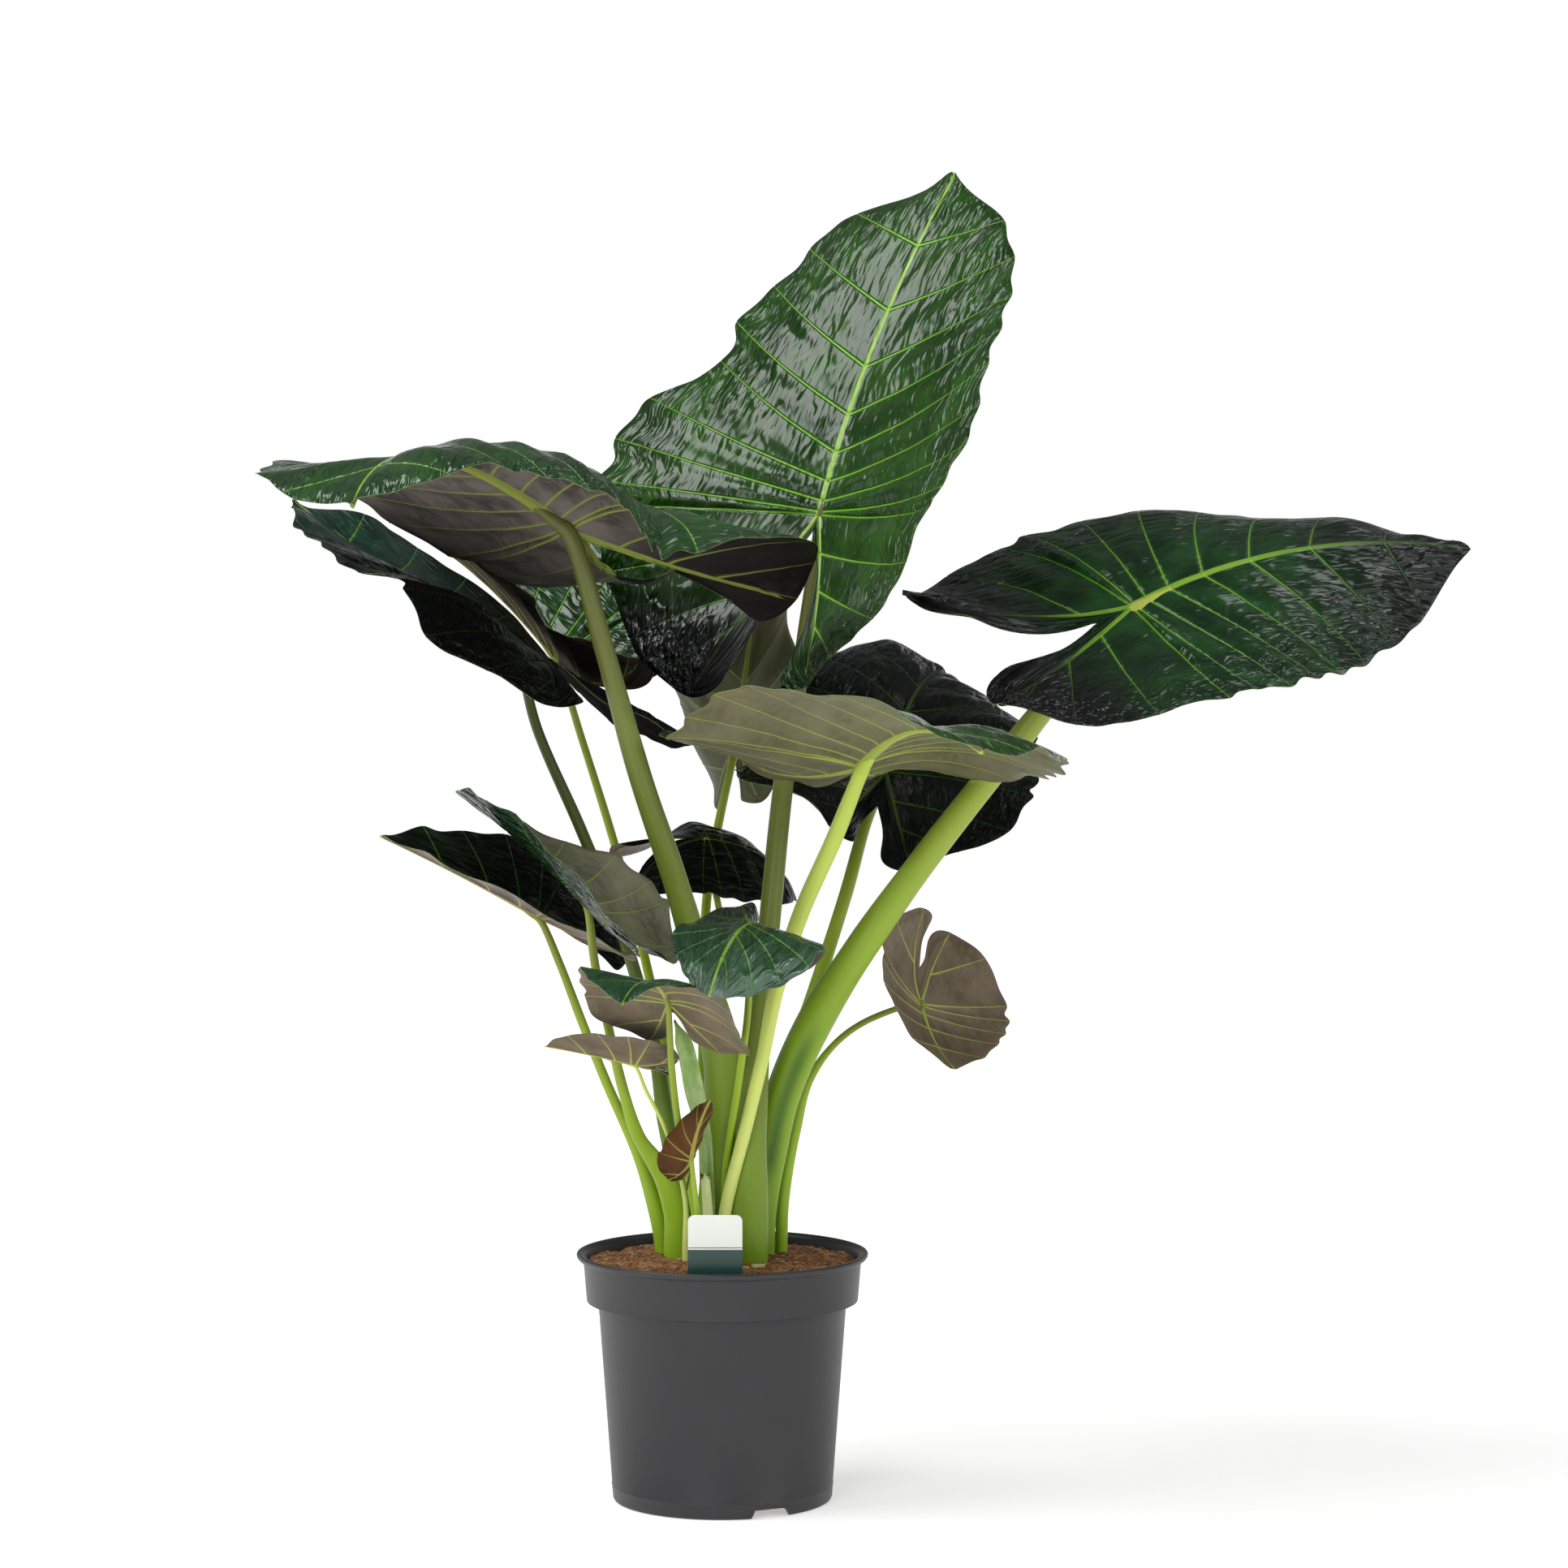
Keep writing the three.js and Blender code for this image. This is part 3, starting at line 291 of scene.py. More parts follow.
# Leaves are painted near black where they lie in shade: each leaf gives this painted shade at its lobe end,
# hub and tip, may give a lighter right lobe end, and may give painted shade on its underside's lobes
leaves = [
    dict(name="leaf_01", hub=(0.09, 0.06, 0.91), heading=45, rise=70, roll=0,
         length=0.3675, halfWidth=0.6, lobe=0.52, droop=15, sweep=5, twist=0, veins=9,
         gap=0.05, rightPaintedShade=0.1, blunt=(1.5, 0.7), notch=0.08, flatness=0.6,
         bays=[(-1, 5.6, 0.2, 0.5), (-1, 6.5, -0.08, 0.6)],
         left=dict(lobeDroop=-15, fold=30, tipFold=-35, lobeFold=-25, curl=-10),
         right=dict(lobeDroop=-15, fold=5, tipFold=-20, lobeFold=5, curl=25),
         stalk=[(0.025, -0.036, 0.224, 0.0175), (0.025, -0.035, 0.274, 0.0175), (0.027, -0.032, 0.35, 0.0145),
                (0.034, -0.022, 0.433, 0.011), (0.044, -0.004, 0.538, 0.01), (0.057, 0.022, 0.665, 0.0095),
                (0.076, 0.054, 0.79, 0.008)],
         top="glossy", under="grey", gloom=(0.95, 0.0, 0.0)),
    dict(name="leaf_02", hub=(-0.135, -0.11, 0.895), heading=-150, rise=35, roll=40,
         length=0.37, halfWidth=0.56, lobe=0.56, droop=85, sweep=-20, twist=0, veins=9,
         gap=0.08, notch=0.07, umbra=(0.9, 0), blunt=(0.5, 0.5), flatness=0.5,
         left=dict(lobeDroop=5, fold=-5, tipFold=5, lobeFold=40, curl=-85),
         right=dict(lobeDroop=-55, fold=25, tipFold=-15, lobeFold=0, curl=15),
         stalk=[(-0.004, -0.014, 0.225, 0.017), (-0.003, -0.014, 0.278, 0.019), (0.002, -0.014, 0.345, 0.02),
                (0.0, -0.018, 0.413, 0.018), (-0.022, -0.034, 0.505, 0.013), (-0.043, -0.052, 0.58, 0.0115),
                (-0.072, -0.076, 0.67, 0.0105), (-0.104, -0.1, 0.788, 0.009)],
         top="satin", under="taupe", gloom=(0.9, 0.1, 0.1)),
    dict(name="leaf_03", hub=(0.375, -0.02, 0.825), heading=25, rise=25, roll=15,
         length=0.365, halfWidth=0.48, lobe=0.54, droop=30, sweep=15, twist=5, veins=8,
         blunt=(0.5, 0.5), flatness=0.6, bays=[(-1, 11.8, -0.25, 1.2)],
         left=dict(lobeDroop=-40, fold=25, tipFold=-35, lobeFold=-10, curl=-30),
         right=dict(lobeDroop=-15, fold=-15, tipFold=-50, lobeFold=0, curl=10),
         stalk=[(0.031, 0.016, 0.215, 0.017), (0.032, 0.016, 0.262, 0.018), (0.042, 0.012, 0.314, 0.0165),
                (0.056, 0.006, 0.375, 0.0165), (0.085, -0.004, 0.442, 0.017), (0.127, -0.006, 0.51, 0.015),
                (0.187, 0.004, 0.593, 0.013), (0.261, 0.014, 0.686, 0.012), (0.322, 0.004, 0.762, 0.01)],
         top="deep", under="grey", gloom=(1.0, 0.1, 0.75)),
    dict(name="leaf_04", hub=(0.125, -0.15, 0.685), heading=-75, rise=20, roll=5,
         length=0.339, halfWidth=0.52, lobe=0.48, droop=35, sweep=0, twist=-10, veins=8,
         droopPower=1.2, ruffle=0.3,
         left=dict(lobeDroop=-15, fold=20, tipFold=-20, lobeFold=0, curl=-55),
         right=dict(lobeDroop=-15, fold=20, tipFold=0, lobeFold=20, curl=-10),
         stalk=[(0.0, -0.04, 0.228, 0.0055), (0.003, -0.042, 0.271, 0.0058), (0.023, -0.052, 0.354, 0.006),
                (0.038, -0.062, 0.418, 0.0062), (0.049, -0.074, 0.474, 0.0068),
                (0.071, -0.096, 0.547, 0.0075), (0.103, -0.124, 0.622, 0.0075)],
         top="glossy", under="olive", gloom=(0.2, 0.0, 0.1)),
    dict(name="leaf_05", hub=(-0.019, 0.15, 0.602), heading=15, rise=-5, roll=30,
         length=0.135, halfWidth=0.5, lobe=0.68, droop=65, sweep=-10, twist=15, veins=5,
         left=dict(lobeDroop=10, fold=-15, tipFold=-5, lobeFold=-25, curl=-10),
         right=dict(lobeDroop=65, fold=-10, tipFold=0, lobeFold=10, curl=-20),
         stalk=[(-0.005, 0.058, 0.218, 0.006), (-0.006, 0.072, 0.288, 0.005), (-0.004, 0.1, 0.4, 0.004),
                (-0.004, 0.13, 0.53, 0.0032)],
         top="black", under="pink", gloom=(0.8, 0.5, 0.7)),
    dict(name="leaf_06", hub=(-0.162, 0.24, 0.768), heading=135, rise=40, roll=5,
         length=0.29, halfWidth=0.4, lobe=0.58, droop=25, sweep=15, twist=-10, veins=8,
         left=dict(lobeDroop=-60, fold=45, tipFold=-20, lobeFold=-15, curl=-10),
         right=dict(lobeDroop=-70, fold=60, tipFold=20, lobeFold=0, curl=-10),
         stalk=[(-0.033, 0.044, 0.217, 0.007), (-0.04, 0.05, 0.299, 0.006), (-0.058, 0.1, 0.412, 0.005),
                (-0.08, 0.148, 0.505, 0.0044), (-0.108, 0.19, 0.6, 0.004), (-0.14, 0.224, 0.697, 0.0036)],
         top="satin", under="umber", gloom=(1.0, 0.15, 0.5)),
    dict(name="leaf_07", hub=(-0.19, 0.02, 0.79), heading=140, rise=20, roll=35,
         length=0.305, halfWidth=0.62, lobe=0.5, droop=-5, sweep=-15, twist=5, veins=8,
         left=dict(lobeDroop=20, fold=0, tipFold=-20, lobeFold=-15, curl=-30),
         right=dict(lobeDroop=10, fold=15, tipFold=35, lobeFold=5, curl=-15),
         stalk=[(-0.031, 0.022, 0.219, 0.009), (-0.04, 0.02, 0.288, 0.0095), (-0.053, 0.018, 0.349, 0.008),
                (-0.063, 0.04, 0.41, 0.007), (-0.093, 0.064, 0.515, 0.006), (-0.132, 0.07, 0.613, 0.0054),
                (-0.173, 0.052, 0.711, 0.0048)],
         top="dusk", under="night", gloom=(1.0, 0.7, 0.15)),
    dict(name="leaf_08", hub=(0.026, -0.185, 0.548), heading=-105, rise=0, roll=15,
         length=0.135, halfWidth=0.5, lobe=0.68, droop=45, sweep=15, twist=-5, veins=5,
         left=dict(lobeDroop=55, fold=-30, tipFold=-90, lobeFold=15, curl=-15),
         right=dict(lobeDroop=-15, fold=5, tipFold=-55, lobeFold=0, curl=15),
         stalk=[(0.004, -0.029, 0.227, 0.004), (0.003, -0.033, 0.303, 0.0036), (0.016, -0.072, 0.396, 0.0034),
                (0.025, -0.13, 0.47, 0.0032)],
         top="sheen", under="grey", gloom=(0.5, 0.0, 0.0)),
    dict(name="leaf_09", hub=(0.185, 0.056, 0.453), heading=100, rise=-140, roll=-35,
         length=0.105, halfWidth=0.82, lobe=0.9, droop=25, sweep=0, twist=10, veins=5, notch=0.45,
         left=dict(lobeDroop=40, fold=-10, tipFold=5, lobeFold=5, curl=-25),
         right=dict(lobeDroop=10, fold=-15, tipFold=0, lobeFold=-10, curl=-15),
         stalk=[(0.054, 0.03, 0.214, 0.0055), (0.056, 0.03, 0.272, 0.006), (0.067, 0.032, 0.336, 0.0055),
                (0.081, 0.034, 0.385, 0.004), (0.105, 0.04, 0.418, 0.0032), (0.136, 0.048, 0.439, 0.003)],
         top="deep", under="rose", gloom=(0.3, 0.2, 0.2)),
    dict(name="leaf_10", hub=(-0.125, -0.06, 0.555), heading=135, rise=35, roll=-130,
         length=0.195, halfWidth=0.5, lobe=0.5, droop=-10, sweep=-5, twist=0, veins=5, flatness=0.6,
         left=dict(lobeDroop=35, fold=-25, tipFold=5, lobeFold=20, curl=-60),
         right=dict(lobeDroop=10, fold=15, tipFold=0, lobeFold=0, curl=-15),
         stalk=[(-0.041, 0.0, 0.221, 0.013), (-0.042, -0.004, 0.269, 0.013), (-0.058, -0.012, 0.308, 0.009),
                (-0.077, -0.02, 0.339, 0.0062), (-0.09, -0.03, 0.381, 0.005), (-0.102, -0.04, 0.435, 0.0043),
                (-0.115, -0.052, 0.5, 0.004)],
         top="deep", under="slate", gloom=(0.5, 0.2, 0.3)),
    dict(name="leaf_11", hub=(-0.169, 0.04, 0.535), heading=195, rise=30, roll=-5,
         length=0.17, halfWidth=0.54, lobe=0.54, droop=5, sweep=0, twist=10, veins=5,
         left=dict(lobeDroop=-5, fold=15, tipFold=-15, lobeFold=5, curl=-15),
         right=dict(lobeDroop=25, fold=40, tipFold=-5, lobeFold=-5, curl=0),
         stalk=[(-0.054, 0.026, 0.218, 0.008), (-0.06, 0.024, 0.257, 0.008), (-0.08, 0.026, 0.319, 0.0054),
                (-0.107, 0.028, 0.38, 0.0046), (-0.13, 0.03, 0.437, 0.0042), (-0.152, 0.034, 0.494, 0.0037)],
         top="black", under="pink", gloom=(1.0, 0.6, 0.1)),
    dict(name="leaf_12", hub=(-0.046, -0.15, 0.475), heading=-105, rise=40, roll=5,
         length=0.13, halfWidth=0.64, lobe=0.58, droop=70, sweep=15, twist=0, veins=5,
         left=dict(lobeDroop=0, fold=-5, tipFold=15, lobeFold=10, curl=-55),
         right=dict(lobeDroop=-10, fold=15, tipFold=10, lobeFold=-5, curl=-5),
         stalk=[(-0.02, -0.038, 0.226, 0.0045), (-0.025, -0.044, 0.274, 0.0036),
                (-0.032, -0.054, 0.313, 0.0033), (-0.039, -0.067, 0.356, 0.0032),
                (-0.044, -0.111, 0.415, 0.0031)],
         top="sheen", under="rose", gloom=(0.3, 0.0, 0.0)),
    dict(name="leaf_13", hub=(-0.077, -0.088, 0.412), heading=185, rise=15, roll=5,
         length=0.085, halfWidth=0.52, lobe=0.46, droop=5, sweep=20, twist=0, veins=4,
         left=dict(lobeDroop=-20, fold=35, tipFold=0, lobeFold=5, curl=-5),
         right=dict(lobeDroop=10, fold=10, tipFold=0, lobeFold=5, curl=-25),
         stalk=[(-0.033, -0.034, 0.225, 0.0034), (-0.033, -0.042, 0.281, 0.0026),
                (-0.04, -0.052, 0.316, 0.0022), (-0.053, -0.064, 0.356, 0.0019),
                (-0.068, -0.078, 0.388, 0.0017)],
         top="deep", under="rose", gloom=(0.2, 0.0, 0.0)),
    dict(name="leaf_14", hub=(-0.027, -0.09, 0.325), heading=120, rise=105, roll=175,
         length=0.065, halfWidth=0.5, lobe=0.52, droop=20, sweep=-10, twist=-20, veins=4,
         left=dict(lobeDroop=-5, fold=55, tipFold=-5, lobeFold=0, curl=5),
         right=dict(lobeDroop=-55, fold=55, tipFold=40, lobeFold=-20, curl=0),
         stalk=[(-0.017, -0.086, 0.226, 0.0034), (-0.021, -0.092, 0.276, 0.0026)],
         top="deep", under="russet", gloom=(0.2, 0.1, 0.1)),
    dict(name="leaf_15", hub=(0.155, 0.17, 0.665), heading=70, rise=50, roll=15,
         length=0.29, halfWidth=0.5, lobe=0.46, droop=65, sweep=10, twist=5, veins=7, notch=0.3,
         left=dict(lobeDroop=-20, fold=25, tipFold=0, lobeFold=55, curl=-75),
         right=dict(lobeDroop=-10, fold=20, tipFold=-30, lobeFold=10, curl=-25),
         stalk=[(0.03, 0.04, 0.217, 0.008), (0.041, 0.058, 0.299, 0.0075), (0.064, 0.084, 0.397, 0.007),
                (0.087, 0.11, 0.463, 0.007), (0.116, 0.142, 0.55, 0.0064), (0.137, 0.17, 0.621, 0.0058)],
         top="black", under="umber", gloom=(0.6, 0.5, 0.8)),
    dict(name="leaf_16", hub=(0.011, 0.28, 0.69), heading=-80, rise=55, roll=-10,
         length=0.225, halfWidth=0.4, lobe=0.46, droop=5, sweep=0, twist=25, veins=5,
         left=dict(lobeDroop=-20, fold=40, tipFold=-5, lobeFold=0, curl=15),
         right=dict(lobeDroop=5, fold=40, tipFold=-35, lobeFold=20, curl=10),
         stalk=[(-0.014, 0.04, 0.22, 0.006), (-0.018, 0.07, 0.327, 0.0054), (-0.02, 0.16, 0.439, 0.005),
                (-0.018, 0.234, 0.541, 0.0046), (-0.009, 0.256, 0.6, 0.0043), (0.005, 0.27, 0.665, 0.004)],
         top="black", under="moss", gloom=(0.8, 0.5, 0.5)),
]


def outlinePoints(leaf):
    notch = leaf.get("notch", leafShape["usualNotch"])
    gap = leaf.get("gap", 0)
    inner = [(-0.78, 0.12 + gap), (-(0.74 + notch) / 2, 0.07 + gap), (-notch, 0)]
    return np.array(leafShape["halfOutline"] + inner, float)


def outlineAt(leaf, turn):
    # a smooth curve through the outline's points, in blade lengths along and across
    points = outlinePoints(leaf)
    last = len(points) - 1
    start = np.clip(np.floor(turn).astype(int), 0, last)
    w = (turn - start)[:, None]
    p0 = points[np.where(start == 0, start, start - 1)]
    p1 = points[start]
    p2 = points[np.minimum(start + 1, last)]
    p3 = points[np.minimum(start + 2, last)]
    v0, v1 = (p2 - p0) / 2, (p3 - p1) / 2
    xy = (2 * p1 - 2 * p2 + v0 + v1) * w**3 + (-3 * p1 + 3 * p2 - 2 * v0 - v1) * w**2 + v0 * w + p1
    along = np.where(xy[:, 0] < 0, xy[:, 0] * leaf["lobe"], xy[:, 0])
    return along, np.maximum(0, xy[:, 1]) * leaf["halfWidth"]


def turnAt(along):
    # how far round the outline the margin lies at this distance along the blade
    xs = np.array([x for x, _ in leafShape["halfOutline"][:-1]])
    return np.interp(-np.asarray(along, float), -xs, np.arange(float(len(xs))))


def axesAlong(leaf, along, lobeDroop):
    # the blade's axes at a distance along it: towards the tip, out of its upper side, to the right
    heading, rise, roll = (math.radians(leaf[key]) for key in ("heading", "rise", "roll"))
    climbCos, climbSin, east, north = math.cos(rise), math.sin(rise), math.cos(heading), math.sin(heading)
    ahead = np.array([climbCos * east, climbCos * north, climbSin])
    level = np.array([-climbSin * east, -climbSin * north, climbCos])
    up = level * math.cos(roll) + np.cross(ahead, level) * math.sin(roll)
    right = np.cross(ahead, up)
    tipDroop = leaf["droop"] * np.maximum(along, 0) ** leaf.get("droopPower", 1)
    bend = np.radians(np.where(along > 0, tipDroop, 2 * lobeDroop * along))[..., None]
    yaw = np.radians(leaf["sweep"] * np.where(along > 0, along, 0.3 * along))[..., None]
    twist = np.radians(leaf["twist"] * along)[..., None]
    aheadHere = np.cos(yaw) * ahead + np.sin(yaw) * right
    rightHere = np.cos(yaw) * right - np.sin(yaw) * ahead
    tangent = np.cos(bend) * aheadHere - np.sin(bend) * up
    upHere = np.cos(bend) * up + np.sin(bend) * aheadHere
    return (tangent, np.cos(twist) * upHere + np.sin(twist) * rightHere,
            np.cos(twist) * rightHere - np.sin(twist) * upHere)


def bladePoints(leaf, side, along, out, lift):
    half = leaf["left"] if side < 0 else leaf["right"]
    middleDroop = (leaf["left"]["lobeDroop"] + leaf["right"]["lobeDroop"]) / 2
    own = np.minimum(1, out / (leafShape["lobeBlend"] * leaf["halfWidth"]))
    lobeDroop = middleDroop + (half["lobeDroop"] - middleDroop) * own
    steps = 20
    shares = (np.arange(steps) + 0.5) / steps
    tangent, _, _ = axesAlong(leaf, along[:, None] * shares, lobeDroop[:, None] * np.ones(steps))
    centre = np.array(leaf["hub"]) + tangent.sum(1) * (leaf["length"] * along / steps)[:, None]
    _, up, right = axesAlong(leaf, along, lobeDroop)
    fold = half["fold"] + half["tipFold"] * np.clip(along, 0, 1)
    fold = fold + 2 * half["lobeFold"] * np.clip(-along, 0, 1)
    slope = np.radians(fold + half["curl"] * out / leaf["halfWidth"] / 2)
    across = out * leaf["length"] * np.cos(slope) - lift * np.sin(slope)
    raised = out * leaf["length"] * np.sin(slope) + lift * np.cos(slope)
    return centre + right * (side * across)[:, None] + up * raised[:, None]


def softNoise(u, v, seed):
    # smooth random relief between -1 and 1, one cell to each unit
    table = np.random.default_rng(seed).uniform(-1, 1, (64, 64))
    iu, iv = np.floor(u).astype(int), np.floor(v).astype(int)
    fu, fv = gentle(u - iu), gentle(v - iv)
    pick = lambda a, b: table[a % 64, b % 64]
    low = pick(iu, iv) * (1 - fu) + pick(iu + 1, iv) * fu
    high = pick(iu, iv + 1) * (1 - fu) + pick(iu + 1, iv + 1) * fu
    return low * (1 - fv) + high * fv


def rowPlaces(count):
    # places between veins, closer together beside each vein; veins lie at even numbers
    steps = leafShape["veinRows"]
    places = []
    for i in range(count):
        if i % 2 == 0:
            places += [i + f for f in steps]
        else:
            places += [i] + [i + 1 - f for f in reversed(steps[1:])]
    return places


def bladeRows(leaf):
    # where each row starts on its rib, how far round the outline it ends, and how far it is from a vein
    veins = leaf["veins"]
    forward, backward = 2 * veins, veins - 1
    back, aside = leafShape["posteriorRib"]
    ribAlong, ribOut = -back * leaf["lobe"], aside * leaf["halfWidth"]
    lobeEnd = leafShape["lobeEndTurn"]
    place = np.array(rowPlaces(forward), float)
    share = 1 - place / forward
    crowd, span = leafShape["veinCrowding"], leafShape["veinSpan"]
    core = [np.stack([share**crowd, 0 * share], 1)]
    turn = [np.where(place == 0, 0, turnAt(span * share - span + 1))]
    bow = [np.sin(math.pi * share) ** 2]
    bulge = [(1 - np.cos(math.pi * place)) / 2]
    zone = [np.zeros(len(place))]
    place = np.array(rowPlaces(backward) + [backward], float)
    share = place / backward
    core.append(np.stack([ribAlong * share, ribOut * share], 1))
    hubTurn = turnAt(1 - span)
    turn.append(hubTurn + (lobeEnd - hubTurn) * share)
    bow.append(0 * share)
    bulge.append((1 - np.cos(math.pi * place)) / 2)
    zone.append(np.ones(len(place)))
    share = np.linspace(1, 0, 4 * backward + 1)[1:]
    core.append(np.stack([ribAlong * share, ribOut * share], 1))
    turn.append(leafShape["lastTurn"] + (lobeEnd - leafShape["lastTurn"]) * share)
    bow.append(0 * share)
    bulge.append(bulge[1][-1] * share)
    zone.append(2 + 0 * share)
    return [np.concatenate(x) for x in (core, turn, bow, bulge, zone)]


def crossLength(one, other):
    return np.abs(one[..., 0] * other[..., 1] - one[..., 1] * other[..., 0])


def marginAt(leaf, side, turn):
    # the outline with a blunt tip, soft ruffles and single bays where the leaf has them
    along, out = outlineAt(leaf, turn)
    out = out * (1 + leaf.get("blunt", (0, 0))[side > 0] * np.maximum(along, 0) ** leafShape["bluntPower"])
    seed = int(leaf["name"][-2:]) * 4 + side
    ruffle = leaf.get("ruffle", 1) * leafShape["ruffle"]
    out = out * (1 + ruffle * softNoise(turn * leafShape["rufflePitch"], 0 * turn + 3.3, seed))
    for baySide, place, depth, reach in leaf.get("bays", ()):
        if baySide == side:
            out = out * (1 - depth * np.exp(-((turn - place) / reach) ** 2))
    return along, out


def bladeSheet(leaf, side):
    # flat layout first: places along and across in blade lengths, then distances to veins, ribs and margin
    core, turn, bow, bulge, zone = bladeRows(leaf)
    length = leaf["length"]
    size = length / leafShape["usualLength"]
    ribHalf = leafShape["ribWidth"] * leaf["stalk"][-1][3]
    edgeAlong, edgeOut = marginAt(leaf, side, turn)
    edge = np.stack([edgeAlong, edgeOut], 1)
    width = np.linalg.norm(edge - core, axis=1) * length
    tipTaper = 1 - leafShape["ribTipTaper"] * np.clip(core[:, 0], 0, 1)
    lobeTaper = 1 - leafShape["ribLobeTaper"] * np.clip(-core[:, 0] / leaf["lobe"], 0, 1)
    ribTaper = np.where(zone == 0, tipTaper, leafShape["ribLobeShare"] * lobeTaper)
    ribHere = np.maximum(ribHalf * ribTaper, leafShape["ribLeast"])
    ribShare = np.clip(ribHere / np.maximum(width, 1e-6), 0.01, 0.3)
    inner = np.linspace(0, 1, leafShape["ribColumns"])
    outer = np.linspace(0, 1, leafShape["bladeColumns"])[1:]
    ribShare = ribShare[:, None]
    share = np.concatenate([ribShare * inner, ribShare + (1 - ribShare) * outer], 1)
    fade = np.clip((np.abs(turn - leafShape["lobeEndTurn"]) - 2) / 2, 0, 1)
    bay = leafShape["scallop"] * fade[:, None] * share
    flat = core[:, None] + (edge - core)[:, None] * share[..., None]
    along = flat[..., 0] - leafShape["veinBow"] * bow[:, None] * np.sin(math.pi * share)
    out = flat[..., 1] * (1 + bay * (1 - 2 * bulge[:, None]))
    flat = np.stack([along, out], -1) * length
    # distance across the rows, summed from vein to vein
    direction = np.gradient(flat, axis=1)
    direction /= np.maximum(np.linalg.norm(direction, axis=2, keepdims=True), 1e-9)
    step = np.zeros(share.shape)
    step[1:] = crossLength(flat[1:] - flat[:-1], direction[1:])
    travelled = np.cumsum(step, 0)
    onVein = np.flatnonzero((bulge < 1e-9) & (zone < 2))
    veinGap = np.min(np.abs(travelled[None] - travelled[onVein][:, None]), 0)
    veinGap[zone == 2] = 1.0
    ribGap = out * length
    back, aside = leafShape["posteriorRib"]
    posterior = np.array([-back * leaf["lobe"], aside * leaf["halfWidth"]])
    posterior /= np.linalg.norm(posterior)
    behind = zone > 0
    ribGap[behind] = crossLength(flat[behind] - core[behind, None] * length, posterior)
    edgeGap = (1 - share) * width[:, None]
    veinHalf = leafShape["veinHalf"] + leafShape["veinHalfGrowth"] * size
    veinHalf = veinHalf * (1 - leafShape["veinTaper"] * share)
    relief = np.minimum(1, share * 5) * (0.35 + 0.65 * bulge[:, None])
    wave = np.sin(turn * leafShape["edgeWaveTurn"] + leaf["heading"])[:, None] * share**2
    wave = wave * leafShape["edgeWave"]
    quilt = bulge[:, None] * np.sin(math.pi * np.minimum(1, share * 1.1)) * leafShape["quilt"]
    return dict(along=along, out=out, share=share, veinNear=veinGap / veinHalf, ribGap=ribGap,
                ribHere=ribHere[:, None] + 0 * share, edgeGap=edgeGap, travelled=travelled, width=width,
                relief=relief, lift=(wave + quilt) * length, size=size, zone=zone)


